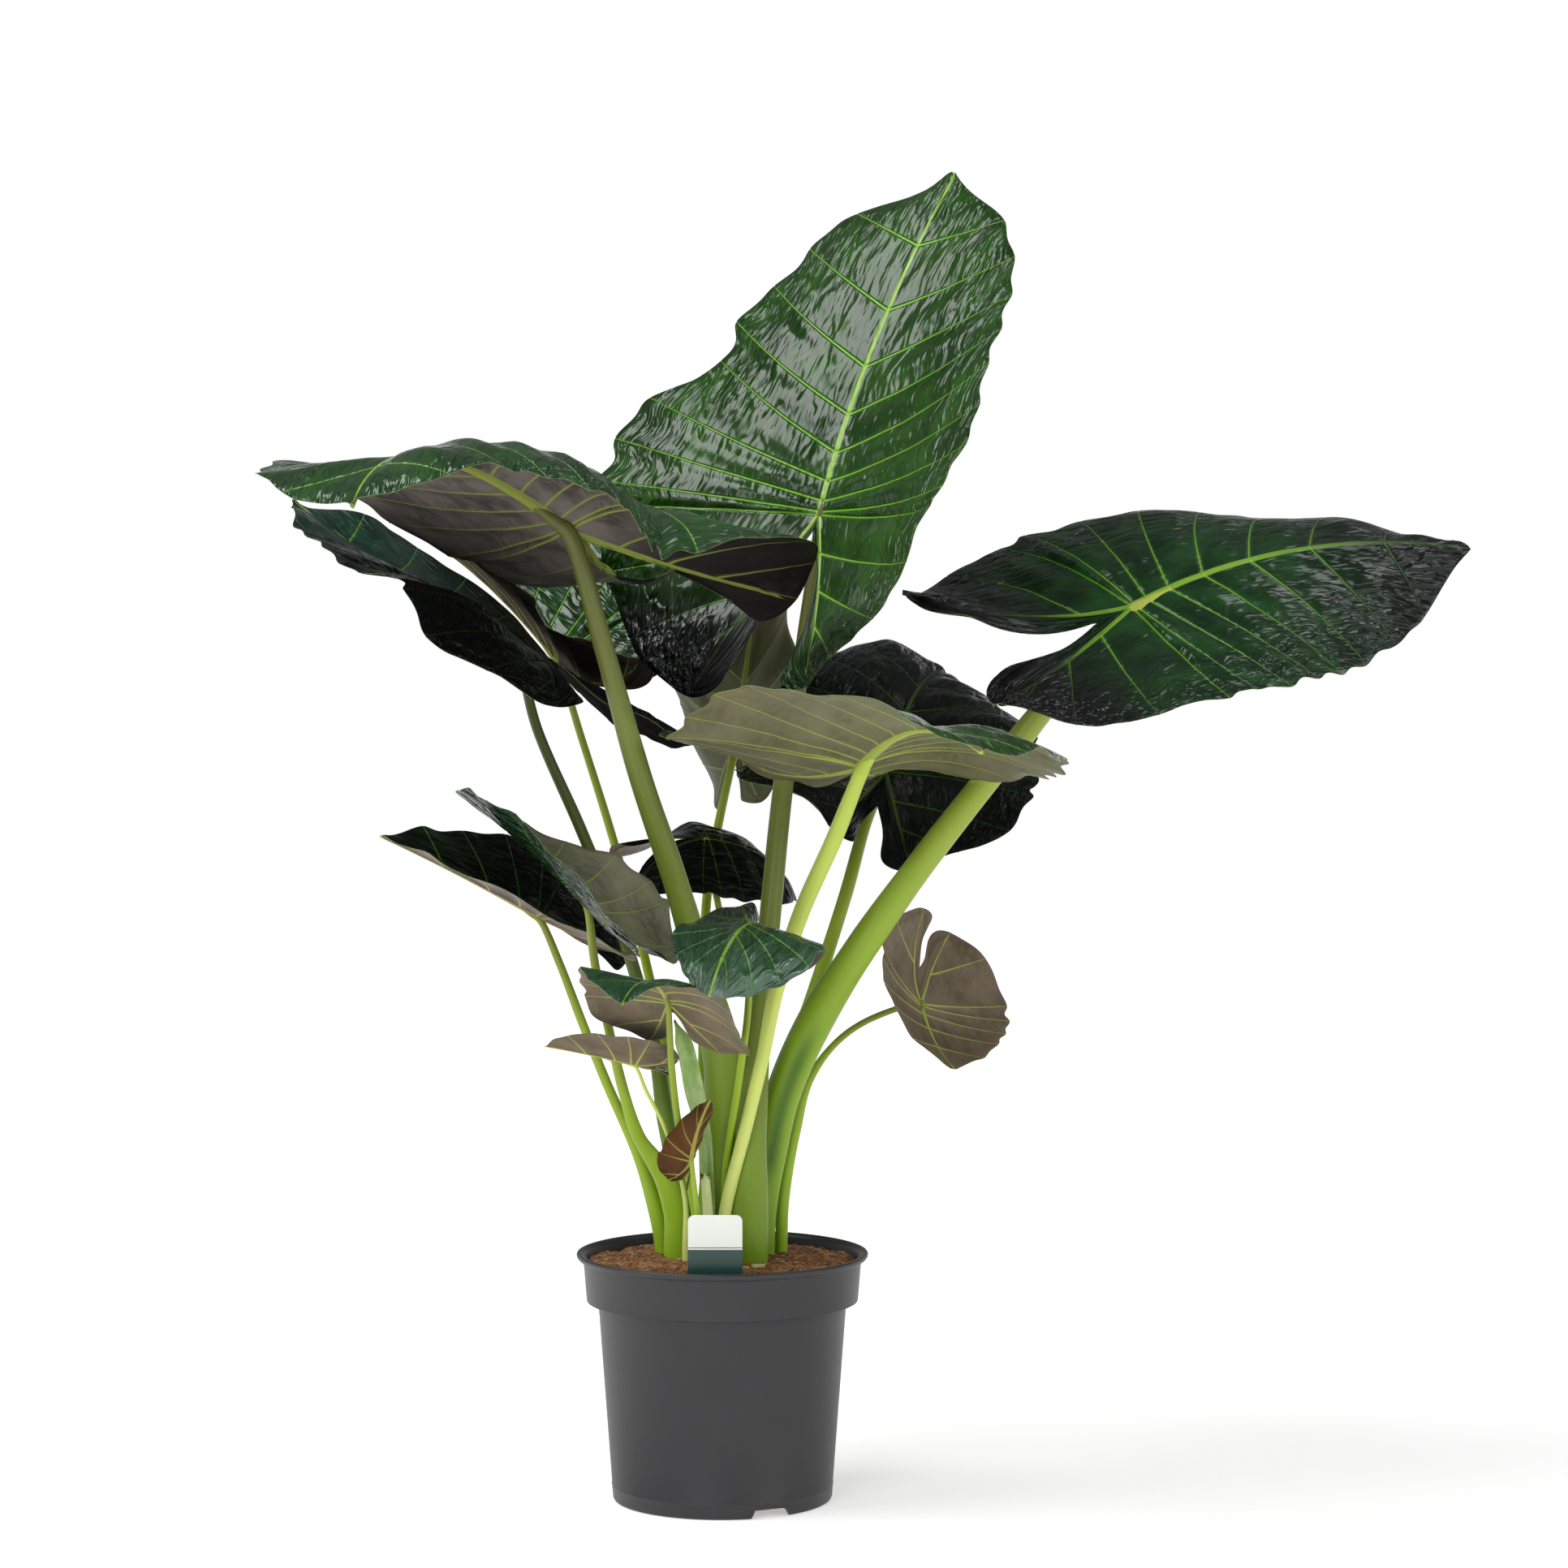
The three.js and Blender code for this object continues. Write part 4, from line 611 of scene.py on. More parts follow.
def bladePiece(leaf, index):
    allPoints, measures, quads = [], [], []
    for side in (-1, 1):
        sheet = bladeSheet(leaf, side)
        rows, columns = sheet["along"].shape
        size = sheet["size"]
        reach = sheet["share"] * sheet["width"][:, None]
        lobeShare = np.clip(-sheet["along"] / leaf["lobe"], 0, 1)
        tipShare = np.clip(sheet["along"], 0, 1)
        # Painted shade along the blade, from the lobe end through the hub to the tip
        lobePaintedShade, hubPaintedShade, tipPaintedShade = leaf["gloom"]
        if side > 0:
            lobePaintedShade = leaf.get("rightPaintedShade", lobePaintedShade)
        gloom = hubPaintedShade + (lobePaintedShade - hubPaintedShade) * gentle(lobeShare * 1.1) ** 1.3
        gloom += (tipPaintedShade - hubPaintedShade) * gentle(tipShare) ** 1.5
        umbra = leaf.get("umbra", (0, 0))[side > 0] * gentle(lobeShare * 2.2)
        ripple = 0
        for reachPitch, reachStart, pitch, start, draw, height in leafShape["ripples"]:
            ripple = ripple + height * softNoise(reach / reachPitch + reachStart,
                                                 sheet["travelled"] / pitch + start, 10 * index + side + draw)
        lift = sheet["lift"] + ripple * sheet["relief"] * min(1, size)
        lift = np.where(sheet["out"] < 1e-6, 0, lift)
        points = bladePoints(leaf, side, sheet["along"].ravel(), sheet["out"].ravel(), lift.ravel())
        allPoints.append(points)
        grid = np.arange(rows * columns).reshape(rows, columns) + (0 if side < 0 else rows * columns)
        a, b, c, d = grid[:-1, :-1], grid[:-1, 1:], grid[1:, 1:], grid[1:, :-1]
        quad = np.stack([a, b, c, d] if side < 0 else [a, d, c, b], -1).reshape(-1, 4)
        quads.append(quad)
        topRib = sheet["ribGap"] / (leafShape["topRibLeast"] + leafShape["topRibShare"] * sheet["ribHere"])
        underRib = sheet["ribGap"] / sheet["ribHere"]
        veinLength = np.where((sheet["zone"] < 2)[:, None], 1.0 - 0.4 * sheet["share"], 0.0)
        perPoint = [sheet["veinNear"], topRib, underRib, sheet["edgeGap"], gloom, reach, sheet["travelled"],
                    sheet["ribHere"], umbra, veinLength]
        measures.append(np.stack(perPoint, -1).reshape(-1, len(perPoint)))
    points = np.concatenate(allPoints)
    measures = np.concatenate(measures)
    quads = np.concatenate(quads)
    _, first, back = np.unique(np.round(points, 7), axis=0, return_index=True, return_inverse=True)
    points, measures, quads = points[first], measures[first], back.ravel()[quads]
    faces = []
    for quad in quads.tolist():
        face = [v for i, v in enumerate(quad) if v != quad[i - 1]]
        if len(set(face)) == len(face) and len(face) > 2:
            faces.append(face)
    normal = np.zeros(points.shape)
    for i, j, k in ((0, 1, 2), (0, 2, 3)):
        corner = points[quads[:, i]]
        facing = np.cross(points[quads[:, j]] - corner, points[quads[:, k]] - corner)
        for place in (i, j, k):
            np.add.at(normal, quads[:, place], facing)
    normal /= np.maximum(np.linalg.norm(normal, axis=1, keepdims=True), 1e-12)
    veinNear, topRib, underRib, edgeGap, gloom, reach, travelled, ribHere, umbra, veinLength = measures.T
    edgeShare = leafShape["edgeThickness"]
    inward = np.minimum(1, edgeGap / leafShape["edgeThin"])
    thick = leafShape["thickness"] * (edgeShare + (1 - edgeShare) * inward)
    vein = np.exp(-veinNear**2 / 2) * veinLength
    ridge = np.sqrt(np.clip(1 - underRib**2, 0, 1)) * ribHere * leafShape["ribRise"]
    crest = np.exp(-topRib**2) * leafShape["ribCrest"] * ribHere
    upper = points + normal * (thick / 2 - leafShape["veinSink"] * vein + crest)[:, None]
    lower = points - normal * (thick / 2 + np.maximum(leafShape["veinRise"] * vein, ridge))[:, None]
    count = len(points)
    directed = {(f[i - 1], f[i]) for f in faces for i in range(len(f))}
    rim = [(b, a, a + count, b + count) for a, b in directed if (b, a) not in directed]
    under = [[v + count for v in reversed(f)] for f in faces]
    kinds = [0] * len(faces) + [1] * len(under) + [2] * len(rim)
    flow = np.stack([reach, travelled, np.full(count, leafShape["flowShift"] * index)], 1)
    values = dict(veinNear=veinNear / np.maximum(veinLength, 0.02), topRib=topRib, underRib=underRib,
                  edgeGap=edgeGap, gloom=gloom, umbra=umbra, flow=flow)
    meshPiece(leaf["name"] + "_leaf", np.concatenate([upper, lower]), faces + under + rim,
              [topFinishes[leaf["top"]], underFinishes[leaf["under"]], rimFinish], kinds,
              {key: np.concatenate([value, value]) for key, value in values.items()},
              replaced=[leaf["name"] + "_blade"])


# Leaf finishes: the looks of the upper sides, then of the undersides
# The near-black colour and the dim vein colour are painted shade on upper sides; the shade colour is painted
# shade on undersides
leafColours = dict(
    vein=(0.13, 0.32, 0.015), veinInPaintedShade=(0.03, 0.09, 0.012), rib=(0.20, 0.38, 0.03), rim=(0.13, 0.22, 0.04),
    black=(0.0035, 0.0035, 0.0040), halo=(0.028, 0.12, 0.008), shade=(0.009, 0.008, 0.008),
)
topLooks = dict(
    glossy=dict(fresh=(0.014, 0.062, 0.003), deep=(0.006, 0.028, 0.002), rough=0.20, gloss=0.42, veins=1.0),
    satin=dict(fresh=(0.013, 0.062, 0.009), deep=(0.006, 0.028, 0.005), rough=0.19, gloss=0.50, veins=1.0),
    deep=dict(fresh=(0.009, 0.046, 0.010), deep=(0.004, 0.018, 0.005), rough=0.22, gloss=0.30, veins=0.8),
    dusk=dict(fresh=(0.012, 0.046, 0.024), deep=(0.005, 0.018, 0.011), rough=0.26, gloss=0.12, veins=0.6),
    # A near-black copy of the green upper side: painted shade for leaves that lie in shade
    black=dict(fresh=(0.008, 0.019, 0.006), deep=(0.004, 0.007, 0.004), rough=0.28, gloss=0.10, veins=0.6),
    sheen=dict(fresh=(0.026, 0.095, 0.040), deep=(0.014, 0.052, 0.025), rough=0.24, gloss=0.90, veins=1.0),
)
underLooks = dict(
    grey=dict(skin=(0.090, 0.080, 0.062), dark=(0.045, 0.040, 0.030), vein=(0.20, 0.26, 0.05)),
    umber=dict(skin=(0.055, 0.045, 0.038), dark=(0.020, 0.017, 0.016), vein=(0.17, 0.19, 0.035), gloss=0.0),
    taupe=dict(skin=(0.155, 0.132, 0.118), dark=(0.060, 0.051, 0.046), vein=(0.22, 0.26, 0.05)),
    olive=dict(skin=(0.150, 0.142, 0.072), dark=(0.095, 0.088, 0.045), vein=(0.30, 0.37, 0.06)),
    moss=dict(skin=(0.060, 0.065, 0.022), dark=(0.030, 0.032, 0.012), vein=(0.13, 0.17, 0.025)),
    # A near-black underside: painted shade for an underside that lies in shade
    night=dict(skin=(0.016, 0.014, 0.015), dark=(0.008, 0.007, 0.008), vein=(0.030, 0.032, 0.012), gloss=0.0),
    slate=dict(skin=(0.260, 0.260, 0.170), dark=(0.130, 0.130, 0.085), vein=(0.36, 0.42, 0.10)),
    pink=dict(skin=(0.175, 0.120, 0.100), dark=(0.080, 0.056, 0.048), vein=(0.30, 0.29, 0.09)),
    rose=dict(skin=(0.175, 0.137, 0.092), dark=(0.100, 0.078, 0.052), vein=(0.34, 0.38, 0.08)),
    russet=dict(skin=(0.100, 0.042, 0.012), dark=(0.050, 0.022, 0.008), vein=(0.30, 0.26, 0.05)),
)


def topFinish(name, look):
    finish = Finish("leafTop_" + name, look["fresh"])
    flow = finish.place("flow")
    vein = finish.measure("veinNear")
    rib = finish.measure("topRib")
    gloom = finish.measure("gloom")
    edge = finish.measure("edgeGap").ramp(0.10, 0.015)
    wide = finish.cloud(finish.scaled(flow, (22.0, 22.0, 10.0)), 1.0, 3.0)
    dent = finish.cloud(finish.scaled(flow, (75.0, 36.0, 10.0)), 1.0, 1.0, 0.5, 0.6)
    feather = finish.cloud(finish.scaled(flow, (150.0, 32.0, 10.0)), 1.0, 1.0, 0.5, 0.6)
    crease = feather.ramp(0.50, 0.38) * (0.45 + edge * 0.55)
    # Painted shade: the skin goes to near black where the blade's painted-shade measure is high
    dark = (gloom * 1.15 + (wide - 0.5) * 0.5 * gloom).ramp(0.05, 0.95)
    skin = finish.blend(wide.ramp(0.35, 0.7), look["deep"], look["fresh"])
    # The creases are darkened toward the deep colour: painted shade in the creases
    skin = finish.blend(crease * 0.6, skin, look["deep"])
    skin = finish.blend(dark, skin, leafColours["black"])
    halo = vein.ramp(5.0, 0.6) * 0.30 * (1 - dark) * look["veins"]
    skin = finish.blend(halo, skin, leafColours["halo"])
    veinMask = vein.ramp(1.35, 0.65) * look["veins"]
    # Veins and rib dim to a painted-shade colour where the skin is painted near black
    veinColour = finish.blend(dark, leafColours["vein"], leafColours["veinInPaintedShade"])
    skin = finish.blend(veinMask * (1 - 0.55 * dark), skin, veinColour)
    ribMask = rib.ramp(1.15, 0.7) * look["veins"]
    ribColour = finish.blend(dark, leafColours["rib"], leafColours["veinInPaintedShade"])
    skin = finish.blend(ribMask * (1 - 0.6 * dark), skin, ribColour)
    rough = look["rough"] + veinMask.high(ribMask) * 0.12 + (wide - 0.5) * 0.12 + crease * 0.06
    height = dent * (0.3 + edge * 0.7) + feather * (0.1 + edge * 0.5) - vein.ramp(3.0, 0.0) * 0.06
    return finish.surface(skin, rough.high(0.12), finish.bump(height, 1.0, 0.010),
                          IOR=1.45, Specular_IOR_Level=look["gloss"])


def underFinish(name, look):
    finish = Finish("leafUnder_" + name, look["skin"])
    flow = finish.place("flow")
    vein = finish.measure("veinNear")
    rib = finish.measure("underRib")
    wide = finish.cloud(finish.scaled(flow, (26.0, 20.0, 10.0)), 1.0, 3.0)
    feather = finish.cloud(finish.scaled(flow, (180.0, 60.0, 10.0)), 1.0, 4.0, 0.6, 0.5)
    mesh = finish.cloud(finish.scaled(flow, (900.0, 700.0, 10.0)), 1.0, 2.0)
    skin = finish.blend(wide.ramp(0.3, 0.75), look["dark"], look["skin"])
    skin = finish.blend(feather.ramp(0.42, 0.62) * 0.5, skin, look["skin"])
    # Painted shade on the underside, darkest toward the lobe end where the leaf gives it
    skin = finish.blend(finish.measure("umbra"), skin, leafColours["shade"])
    mask = vein.ramp(1.25, 0.6).high(rib.ramp(1.1, 0.85))
    skin = finish.blend(vein.ramp(3.5, 0.8) * 0.2, skin, look["vein"])
    skin = finish.blend(mask * 0.95, skin, look["vein"])
    height = wide * 0.8 + feather * 0.35 + mesh * 0.12
    rough = 0.46 + (feather - 0.5) * 0.2
    return finish.surface(skin, rough, finish.bump(height, 0.6, 0.0018), IOR=1.45,
                          Specular_IOR_Level=look.get("gloss", 0.1))


print("leaf finishes")
topFinishes = {name: topFinish(name, look) for name, look in topLooks.items()}
underFinishes = {name: underFinish(name, look) for name, look in underLooks.items()}
rimFinish = Finish("leafRim", leafColours["rim"]).surface(leafColours["rim"], 0.45)

print("leaf blades")
for index, leaf in enumerate(leaves):
    bladePiece(leaf, index + 1)


# Stalks
stalkShape = dict(
    footHeight=0.15, footPull=0.85, footTaper=0.7, sides=28, stepsPerSpan=12, roundFrom=0.1, roundTo=0.6,
    intoBlade=[(0.0, 0.62, 0.86), (0.05, 0.45, 0.66), (0.12, 0.2, 0.42)],
)
# Each stalk's tones run from foot to top: the lighter feet are painted light shining through the stalks, and
# where a top is darker that is painted shade
stalkTones = dict(
    lime=dict(base=(0.260, 0.440, 0.012), middle=(0.255, 0.370, 0.018), top=(0.200, 0.225, 0.035)),
    olive=dict(base=(0.170, 0.290, 0.012), middle=(0.130, 0.170, 0.020), top=(0.070, 0.060, 0.018)),
    khaki=dict(base=(0.280, 0.470, 0.012), middle=(0.175, 0.250, 0.026), top=(0.105, 0.108, 0.028)),
    pale=dict(base=(0.60, 0.67, 0.20), middle=(0.52, 0.61, 0.13), top=(0.42, 0.53, 0.07)),
    bright=dict(base=(0.190, 0.350, 0.008), middle=(0.210, 0.330, 0.016), top=(0.320, 0.365, 0.060)),
    dusk=dict(base=(0.190, 0.340, 0.018), middle=(0.100, 0.145, 0.024), top=(0.040, 0.052, 0.015)),
)
stalkMarks = dict(streak=(0.24, 0.38, 0.05), speck=(0.42, 0.46, 0.2), groove=(0.045, 0.125, 0.004))
stalkLooks = dict(leaf_01="olive", leaf_02="khaki", leaf_03="bright", leaf_04="pale", leaf_07="dusk",
                  leaf_13="pale")
grooves = dict(
    leaf_03=dict(angle=-100, halfAngle=42, start=0.24, end=0.52, depth=0.12),
    leaf_10=dict(angle=-150, halfAngle=26, start=0.05, end=0.30, depth=0.15),
)


def routeAt(route, places):
    # centripetal curve through the route's points; places count its spans
    points = np.array(route, float)
    xyz, size = points[:, :3], points[:, 3]
    xyz = np.vstack([2 * xyz[0] - xyz[1], xyz, 2 * xyz[-1] - xyz[-2]])
    made = []
    for place in places:
        i = min(int(place), len(points) - 2)
        w = place - i
        p0, p1, p2, p3 = xyz[i:i + 4]
        d0, d1, d2 = (max(np.linalg.norm(b - a) ** 0.5, 1e-3) for a, b in ((p0, p1), (p1, p2), (p2, p3)))
        t1 = ((p1 - p0) / d0 - (p2 - p0) / (d0 + d1) + (p2 - p1) / d1) * d1
        t2 = ((p2 - p1) / d1 - (p3 - p1) / (d1 + d2) + (p3 - p2) / d2) * d1
        point = p1 + t1 * w + (-3 * p1 + 3 * p2 - 2 * t1 - t2) * w**2 + (2 * p1 - 2 * p2 + t1 + t2) * w**3
        made.append([*point, size[i] + (size[i + 1] - size[i]) * float(gentle(w))])
    return np.array(made)


def crossAxes(line):
    # directions across a line of points: sideways, and away from the viewer
    tangent = np.gradient(line[:, :3], axis=0)
    tangent /= np.linalg.norm(tangent, axis=1, keepdims=True)
    across = np.cross(tangent, (0, 1, 0))
    across /= np.linalg.norm(across, axis=1, keepdims=True)
    return across, np.cross(across, tangent)


def tube(route, sides, stepsPerSpan, flatness=1.0, flatSpans=None, groove=None):
    # rings of points along a route, with how far each is up it and how deep it lies in the groove
    spans = len(route) - 1
    places = np.linspace(0, spans, spans * stepsPerSpan + 1)
    line = routeAt(route, places)
    across, deep = crossAxes(line)
    share = places / (flatSpans or spans)
    lift = (share - stalkShape["roundFrom"]) / (stalkShape["roundTo"] - stalkShape["roundFrom"])
    depth = flatness + (1 - flatness) * np.clip(lift, 0, 1)
    angle = np.arange(sides) / sides * 2 * math.pi
    hollow = np.zeros((len(places), sides))
    if groove:
        off = np.abs((angle - math.radians(groove["angle"]) + math.pi) % (2 * math.pi) - math.pi)
        width = 1 - gentle(off / math.radians(groove["halfAngle"]))
        height = (share - groove["start"]) / (groove["end"] - groove["start"])
        hollow = np.outer(gentle(np.clip(np.minimum(height, 1 - height) * 4, 0, 1)), width)
    radius = line[:, 3:4] * (1 - hollow * (groove["depth"] if groove else 0))
    points = (line[:, None, :3] + across[:, None] * (radius * np.cos(angle))[..., None]
              + deep[:, None] * (radius * depth[:, None] * np.sin(angle))[..., None])
    count = len(places)
    faces = []
    for i in range(count - 1):
        for k in range(sides):
            n = (k + 1) % sides
            faces.append((i * sides + k, (i + 1) * sides + k, (i + 1) * sides + n, i * sides + n))
    points = points.reshape(-1, 3)
    faces.append(tuple(range(sides)))
    faces.append(tuple(count * sides - 1 - k for k in range(sides)))
    climb = np.repeat(places / spans, sides)
    around = np.tile(angle, count)
    steps = np.linalg.norm(np.diff(line[:, :3], axis=0), axis=1)
    run = np.repeat(np.concatenate([[0], np.cumsum(steps)]), sides)
    return points, faces, climb, around, run, hollow.ravel()


def stalkFinish(name, tone):
    finish = Finish("stalk_" + name, tone["middle"])
    climb = finish.measure("climb")
    hollow = finish.measure("hollow")
    grain = finish.place("grain")
    streak = finish.cloud(finish.scaled(grain, (420.0, 420.0, 9.0)), 1.0, 4.0)
    blotch = finish.cloud(finish.scaled(grain, (60.0, 60.0, 16.0)), 1.0, 3.0)
    speck = finish.cloud(finish.scaled(grain, (900.0, 900.0, 420.0)), 1.0, 2.0)
    # Painted light at the foot and painted shade toward the top, as the tones give
    skin = finish.blend((climb + (blotch - 0.5) * 0.12).ramp(0.08, 0.45), tone["base"], tone["middle"])
    skin = finish.blend((climb + (blotch - 0.5) * 0.12).ramp(0.40, 0.85), skin, tone["top"])
    skin = finish.blend(streak.ramp(0.48, 0.8) * 0.30, skin, stalkMarks["streak"])
    skin = finish.blend(speck.ramp(0.62, 0.75) * 0.12, skin, stalkMarks["speck"])
    # The groove is painted dark green: painted shade in the sheath's hollow
    skin = finish.blend(hollow * 0.9, skin, stalkMarks["groove"])
    height = streak * 0.7 + speck * 0.25
    return finish.surface(skin, 0.42 + (streak - 0.5) * 0.18, finish.bump(height, 0.35, 0.0008),
                          Specular_IOR_Level=0.3)


def stalkPiece(leaf):
    x, y, _, width = leaf["stalk"][0]
    shape = stalkShape
    foot = (x * shape["footPull"], y * shape["footPull"], shape["footHeight"], width * shape["footTaper"])
    end = leaf["stalk"][-1][3]
    route = [foot, *leaf["stalk"]]
    for along, sink, size in shape["intoBlade"]:
        middle = (leaf["left"]["lobeDroop"] + leaf["right"]["lobeDroop"]) / 2
        _, up, _ = axesAlong(leaf, np.array([along]), np.array([middle]))
        place = bladePoints(leaf, 1, np.array([along]), np.array([0.0]), np.array([0.0]))[0]
        route.append((*(place - up[0] * end * sink), end * size))
    points, faces, climb, around, run, hollow = tube(
        route, shape["sides"], shape["stepsPerSpan"], leaf.get("flatness", 1.0), len(leaf["stalk"]) + 1,
        grooves.get(leaf["name"]))
    grain = np.stack([np.cos(around) * end, np.sin(around) * end, run], 1)
    look = stalkLooks.get(leaf["name"], "lime")
    meshPiece(leaf["name"] + "_petiole", points, faces, [stalkFinishes[look]], None,
              dict(climb=climb, hollow=hollow, grain=grain), replaced=[leaf["name"] + "_stalk"])


print("stalks")
stalkFinishes = {name: stalkFinish(name, tone) for name, tone in stalkTones.items()}
for leaf in leaves:
    stalkPiece(leaf)


# Pot: its profile is given as radius and height, from the middle of the foot round to the inside
pot = dict(
    sides=160, sharpAbove=35,
    profile=[(0, 0), (0.0295, 0), (0.030, 0.0005), (0.033, 0.005), (0.0955, 0.005), (0.0973, 0.0003),
             (0.098, 0), (0.0998, 0), (0.1008, 0.0006), (0.1018, 0.003), (0.1024, 0.0135), (0.1028, 0.0143),
             (0.1024, 0.0151), (0.11475, 0.1825), (0.1158, 0.184), (0.1242, 0.184), (0.1253, 0.1846),
             (0.1256, 0.186), (0.1284, 0.2205), (0.1296, 0.222), (0.1330, 0.2235), (0.1346, 0.2255),
             (0.1348, 0.2275), (0.1340, 0.2288), (0.1322, 0.229), (0.1303, 0.2288), (0.1275, 0.2270),
             (0.1263, 0.2245), (0.1234, 0.187), (0.1126, 0.1862), (0.0993, 0.0090), (0.0975, 0.0075),
             (0, 0.0075)],
    notchCount=3, notchAngle=27, notchTop=0.032, notchFoot=0.040, notchHeight=0.009,
    notchNear=-0.110, notchFar=-0.0895, drainCount=4, drainRadius=0.006, drainCircle=0.066, drainTurn=45,
    drainSides=24,
    colour=(0.019, 0.019, 0.021), worn=(0.030, 0.030, 0.032),
)


def latheMesh(profile, sides):
    points, faces = [], []
    rings = []
    for radius, height in profile:
        if radius < 1e-6:
            rings.append([len(points)] * sides)
            points.append((0, 0, height))
        else:
            rings.append(list(range(len(points), len(points) + sides)))
            for k in range(sides):
                angle = 2 * math.pi * k / sides
                points.append((radius * math.cos(angle), radius * math.sin(angle), height))
    for low, high in zip(rings, rings[1:]):
        for k in range(sides):
            n = (k + 1) % sides
            face = []
            for v in (low[k], high[k], high[n], low[n]):
                if v not in face:
                    face.append(v)
            if len(face) > 2:
                faces.append(tuple(face[::-1]))
    return points, faces


def cutter(points, faces):
    mesh = bpy.data.meshes.new("cutter")
    mesh.from_pydata(points, [], faces)
    mesh.update()
    tool = bpy.data.objects.new("cutter", mesh)
    bpy.context.scene.collection.objects.link(tool)
    return tool


def cutAway(piece, tool):
    cut = piece.modifiers.new("cut", "BOOLEAN")
    cut.operation = "DIFFERENCE"
    cut.solver = "EXACT"
    cut.object = tool
    bpy.context.view_layer.update()
    graph = bpy.context.evaluated_depsgraph_get()
    shaped = bpy.data.meshes.new_from_object(piece.evaluated_get(graph))
    piece.modifiers.clear()
    piece.data = shaped
    bpy.data.objects.remove(tool)


def notchTool(angle):
    low, high = pot["notchFoot"] / 2, pot["notchTop"] / 2
    under, top = -0.001, pot["notchHeight"]
    cosTurn, sinTurn = math.cos(math.radians(angle)), math.sin(math.radians(angle))
    points = []
    for y in (pot["notchNear"], pot["notchFar"]):
        for x, z in ((-low, under), (low, under), (high, top), (-high, top)):
            points.append((x * cosTurn - y * sinTurn, x * sinTurn + y * cosTurn, z))
    faces = [(0, 1, 2, 3), (7, 6, 5, 4), (0, 4, 5, 1), (1, 5, 6, 2), (2, 6, 7, 3), (3, 7, 4, 0)]
    return cutter(points, faces)


def drainTool(angle):
    middle, radius, sides = pot["drainCircle"], pot["drainRadius"], pot["drainSides"]
    turn = math.radians(angle)
    ring = [(middle * math.cos(turn) + radius * math.cos(a), middle * math.sin(turn) + radius * math.sin(a))
            for a in np.linspace(0, 2 * math.pi, sides + 1)[:-1]]
    points = [(x, y, z) for z in (-0.01, 0.02) for x, y in ring]
    faces = [tuple(range(sides - 1, -1, -1)), tuple(range(sides, 2 * sides))]
    faces += [(k, (k + 1) % sides, (k + 1) % sides + sides, k + sides) for k in range(sides)]
    return cutter(points, faces)


def potFinish():
    finish = Finish("darkPotPlastic", pot["colour"])
    where = finish.where()
    fine = finish.cloud(where, 900.0, 2.0)
    broad = finish.cloud(where, 9.0, 3.0)
    streak = finish.cloud(finish.scaled(where, (30.0, 30.0, 4.0)), 1.0, 4.0)
    _, _, z = finish.split(where)
    dust = streak.ramp(0.5, 0.8) * z.ramp(0.05, 0.0) * 0.6
    skin = finish.blend(broad.ramp(0.35, 0.7) * 0.35 + dust, pot["colour"], pot["worn"])
    rough = 0.45 + (broad - 0.5) * 0.12 + (fine - 0.5) * 0.08
    return finish.surface(skin, rough, finish.bump(fine + streak * 0.4, 0.18, 0.0003), Specular_IOR_Level=0.4)


print("pot")
potPoints, potFaces = latheMesh(pot["profile"], pot["sides"])
potPiece = meshPiece("nurseryPot", potPoints, potFaces, [potFinish()], replaced=["pot"])
for i in range(pot["notchCount"]):
    cutAway(potPiece, notchTool(pot["notchAngle"] + 360 * i / pot["notchCount"]))
for i in range(pot["drainCount"]):
    cutAway(potPiece, drainTool(pot["drainTurn"] + 360 * i / pot["drainCount"]))


def sharpen(piece, limit):
    mesh = piece.data
    mesh.polygons.foreach_set("use_smooth", np.full(len(mesh.polygons), True))
    mesh.set_sharp_from_angle(angle=math.radians(limit))


sharpen(potPiece, pot["sharpAbove"])


# Growing medium: coconut fibre
soil = dict(
    edgeHeight=0.2185, mound=0.006, bump=0.0016, bumpPitch=0.012, lumpPitch=0.005, radius=0.1255, rings=70,
    sides=170, crumb=0.0022, colour=(0.14, 0.06, 0.03),
    below=[(0.1228, 0.19), (0.1115, 0.1865), (0.0988, 0.008)],
    tones=[(0.38, (0.030, 0.010, 0.004)), (0.46, (0.190, 0.070, 0.022)), (0.54, (0.400, 0.170, 0.060)),
           (0.64, (0.680, 0.380, 0.180))],
)


def soilHeight(x, y):
    share = np.hypot(x, y) / soil["radius"]
    bumps = np.sin(x / soil["bumpPitch"] + 1) * np.cos(y / soil["bumpPitch"])
    lumps = 0.6 * np.sin((x - y) / soil["lumpPitch"])
    return soil["edgeHeight"] + soil["mound"] * (1 - share * share) + soil["bump"] * (bumps + lumps)


def soilRelief(x, y):
    # the mound with clods and crumbs on it
    crumbs = softNoise(x / 0.0035 + 7, y / 0.0035, 3) * 0.6 + softNoise(x / 0.0016, y / 0.0016 + 4, 5) * 0.4
    clods = softNoise(x / 0.011, y / 0.011, 8)
    return soilHeight(x, y) + soil["crumb"] * (crumbs * 0.8 + clods * 0.7)


def soilFinish():
    finish = Finish("coconutFibre", soil["colour"])
    where = finish.where()
    grain = finish.cloud(where, 420.0, 5.0, 0.7)
    patch = finish.cloud(where, 55.0, 4.0)
    thread = finish.cloud(finish.scaled(where, (900.0, 220.0, 500.0)), 1.0, 3.0, 0.6, 1.5)
    colour = finish.node("ShaderNodeValToRGB", "Color", settings=dict(stops=soil["tones"]),
                         Fac=grain * 0.6 + patch * 0.2 + thread * 0.2)
    return finish.surface(colour, 0.9, finish.bump(grain + thread, 0.9, 0.0018))


def fibreFinish(name, dark, light):
    finish = Finish(name, light)
    where = finish.where()
    tone = finish.cloud(where, 140.0, 2.0)
    return finish.surface(finish.blend(tone.ramp(0.3, 0.7), dark, light), 0.7, finish.bump(tone, 0.2, 0.0004))


